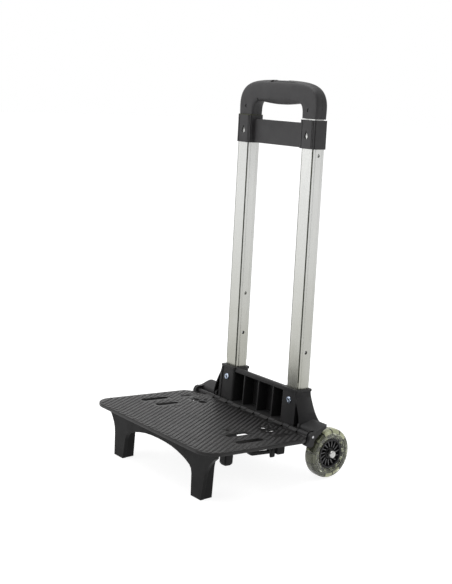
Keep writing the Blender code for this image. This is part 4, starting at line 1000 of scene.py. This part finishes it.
rng = random.Random(7)
for sx, nm in ((-1, 'left'), (1, 'right')):
    cx = sx * WHEEL_X
    dark, light, pale, dash = bmesh.new(), bmesh.new(), bmesh.new(), bmesh.new()
    for i in range(13):
        a = 2 * math.pi * i / 13 + 0.16
        w = 2 * math.pi / 13
        # segments near the top and bottom get the pale material and the rest get the dark one: lit and shaded copies of
        # one moulding, as painted light and shade
        top = 50.0 < math.degrees(a + w / 2) % 360.0 < 125.0 or 255.0 < math.degrees(a + w / 2) % 360.0 < 300.0
        arc_block(light if top else dark, 31.0, 34.4, a + 0.02, a + w * 0.88, cx - 7.4, cx + 7.4, 10, 1.2)
        arc_block(dash, 30.6, 34.6, a + w * 0.90, a + w * 1.01, cx - 7.0, cx + 7.0, 3)
        for side in (-1, 1):
            x0, x1 = sorted((cx + side * 6.55, cx + side * 7.15))
            arc_block(dash, 25.2, 28.2, a + 0.05, a + w * 0.62, x0, x1, 6)
            # small pale ticks on each face of the core: painted highlight
            x0, x1 = sorted((cx + side * 6.6, cx + side * 7.0))
            arc_block(pale, 26.3, 27.6, a + w * 0.70, a + w * 0.88, x0, x1, 3)
    body = BODY_OF['wheel_tyre_' + nm]
    piece('v_tyre_painted_shade_segments_' + nm, dark, body, MAT['core'], DECK_FRAME, 30.0)
    piece('v_tyre_painted_lit_' + nm, light, body, MAT['core_pale'], DECK_FRAME, 30.0)
    piece('v_tyre_painted_glint_' + nm, pale, body, MAT['glint'], DECK_FRAME, 30.0)
    piece('v_tyre_dashes_' + nm, dash, body, MAT['olive'], DECK_FRAME, 30.0)

# pale strips on the front edges of the hub blades: painted highlight
for sx, nm in ((-1, 'left'), (1, 'right')):
    edges = bmesh.new()
    front = sx * (WHEEL_X + 6.2)
    for i in range(SPOKES):
        a = 2 * math.pi * i / SPOKES
        sweep = math.radians(10.0) * sx
        rows = []
        for r, k in ((10.2, 0.07), (12.0, 0.24), (14.0, 0.45), (16.0, 0.64), (18.0, 0.83), (19.2, 0.93)):
            b = a + sweep * k
            u = Vector((0.0, math.cos(b), math.sin(b)))
            t = Vector((0.0, -math.sin(b), math.cos(b)))
            c = Vector((0.0, WHEEL_Y, WHEEL_Z)) + u * r
            rows.append([edges.verts.new(tuple(c + t * q + Vector((front + sx * h, 0.0, 0.0)))) for q, h in ((-0.78, -0.4), (-0.66, 0.12), (-0.25, 0.3), (0.25, 0.3), (0.66, 0.12), (0.78, -0.4))])
        for p_row, q_row in zip(rows, rows[1:]):
            for q in range(6):
                k = (q + 1) % 6
                edges.faces.new((p_row[q], p_row[k], q_row[k], q_row[q]))
        edges.faces.new(rows[0])
        edges.faces.new(list(reversed(rows[-1])))
    piece('v_spoke_painted_highlight_' + nm, edges, BODY_OF['wheel_hub_' + nm], MAT['spoke'], DECK_FRAME, 40.0)

# dark ring at the mouth of the left sleeve only: painted shade in the gap below the handle
gap_shade = prism(shift(stepped(SLEEVE_A + 1.15, SLEEVE_B - 0.15, 0.9, 3.2), 1.3 - TUBE_X), 'z', 468.5, 470.08)
gap_shade = cut(gap_shade, [prism(rrect(-TUBE_X - INN_A - 0.3, -TUBE_X + INN_A + 0.3, -INN_B - 0.3, INN_B + 0.3, 1.3, 2), 'z', 460.0, 480.0)])
piece('v_sleeve_gap_shade_left', gap_shade, BODY_OF['top_bracket'], MAT['olive'], TUBE_FRAME, 35.0)

# thin near-black sheet behind the hinge hook: painted shade
shade_sheet = [(8.2 * math.cos(math.radians(a)), HINGE_Z + 8.2 * math.sin(math.radians(a))) for a in range(70, 196, 6)]
shade_sheet += [(-8.4, -8.0), (-7.4, -12.6), (4.6, -14.2), (8.0, -9.2), (11.0, -5.0), (15.2, -1.0), (18.5, 6.8), (14.0, 10.6), (8.0, 8.6)]
piece('v_hinge_shade_sheet', prism(shade_sheet, 'x', 136.7, 137.5), BODY_OF['chassis_bracket'], MAT['hub'], DECK_FRAME, 30.0)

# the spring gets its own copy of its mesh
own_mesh(PIECES['v_button_spring'])

# near-black discs in the centres of the two rivets: painted shade; bright ends of the hinge rod
for sx, nm in ((-1, 'left'), (1, 'right')):
    piece('v_rod_end_' + nm, turned([(0.3, sx * 143.0), (1.9, sx * 143.0), (2.0, sx * 143.3), (1.6, sx * 143.68), (0.3, sx * 143.74)], 'x', 0.0, HINGE_Z, 14, ring=False),
          BODY_OF['hinge_rod'], MAT['steel'], DECK_FRAME, 40.0)
    piece('v_rivet_bore_shade_' + nm, turned([(0.4, 5.62), (1.2, 5.72), (1.75, 5.95), (1.75, 6.3), (0.4, 6.3)], 'y', sx * 76.0, 39.0, 14, ring=False),
          BODY_OF['chassis_rivet_' + nm], MAT['dark'], DECK_FRAME, 40.0)

# ------------------------------------------------------------------ floor, lights, camera
def floor_material():
    m, nt, b = _new('pale_floor')
    vec = _coords(nt)
    nt.links.new(_mix(nt, _noise(nt, vec, 3.0, 2.0), (0.28, 0.28, 0.28), (0.31, 0.31, 0.31)), b.inputs['Base Color'])
    b.inputs['Roughness'].default_value = 0.9
    b.inputs['Specular IOR Level'].default_value = 0.05
    b.inputs['Emission Color'].default_value = (1.0, 1.0, 1.0, 1.0)
    b.inputs['Emission Strength'].default_value = 0.87
    return m


fl = bmesh.new()
bmesh.ops.create_grid(fl, x_segments=2, y_segments=2, size=14.0)
fme = bpy.data.meshes.new('studio_floor')
fl.to_mesh(fme)
floor = bpy.data.objects.new('studio_floor', fme)
bpy.context.scene.collection.objects.link(floor)
fme.materials.append(floor_material())

def studio_world():
    """White sweep in front of the lens, falling off behind it."""
    w = bpy.data.worlds.new('studio')
    w.use_nodes = True
    nt = w.node_tree
    tc = nt.nodes.new('ShaderNodeTexCoord')
    dot = nt.nodes.new('ShaderNodeVectorMath')
    dot.operation = 'DOT_PRODUCT'
    dot.inputs[1].default_value = (-0.77, 0.63, 0.0)
    nt.links.new(tc.outputs['Generated'], dot.inputs[0])
    k = _range(nt, dot.outputs['Value'], -0.82, 0.28, 0.36, 1.0, True)
    nt.links.new(k, nt.nodes['Background'].inputs['Strength'])
    nt.nodes['Background'].inputs['Color'].default_value = (1.0, 1.0, 1.0, 1.0)
    return w


bpy.context.scene.world = studio_world()
bpy.context.scene.view_settings.view_transform = 'Standard'


def area(name, loc, target, size, power, colour=(1.0, 1.0, 1.0)):
    d = bpy.data.lights.new(name, 'AREA')
    d.shape = 'RECTANGLE'
    d.size, d.size_y = size
    d.energy = power
    d.color = colour
    o = bpy.data.objects.new(name, d)
    bpy.context.scene.collection.objects.link(o)
    o.location = loc
    o.rotation_euler = (Vector(target) - Vector(loc)).to_track_quat('-Z', 'Y').to_euler()
    return o


area('softbox_top', (-0.3, -0.2, 1.9), (0.0, 0.0, 0.2), (1.6, 1.6), 24.0)
area('softbox_front', (-0.7, -1.7, 0.9), (0.0, 0.0, 0.15), (1.2, 1.0), 9.0)

cam_data = bpy.data.cameras.new('camera')
cam_data.lens = 66.602
cam_data.sensor_width = 36.0
cam_data.shift_y = -0.11986
cam_data.clip_start, cam_data.clip_end = 0.05, 60.0
cam = bpy.data.objects.new('camera', cam_data)
bpy.context.scene.collection.objects.link(cam)
cam.location = (1.26075, -1.02886, 0.58202)
cam.rotation_euler = tuple(math.radians(a) for a in (82.825, -2.897, 51.386))
bpy.context.scene.camera = cam
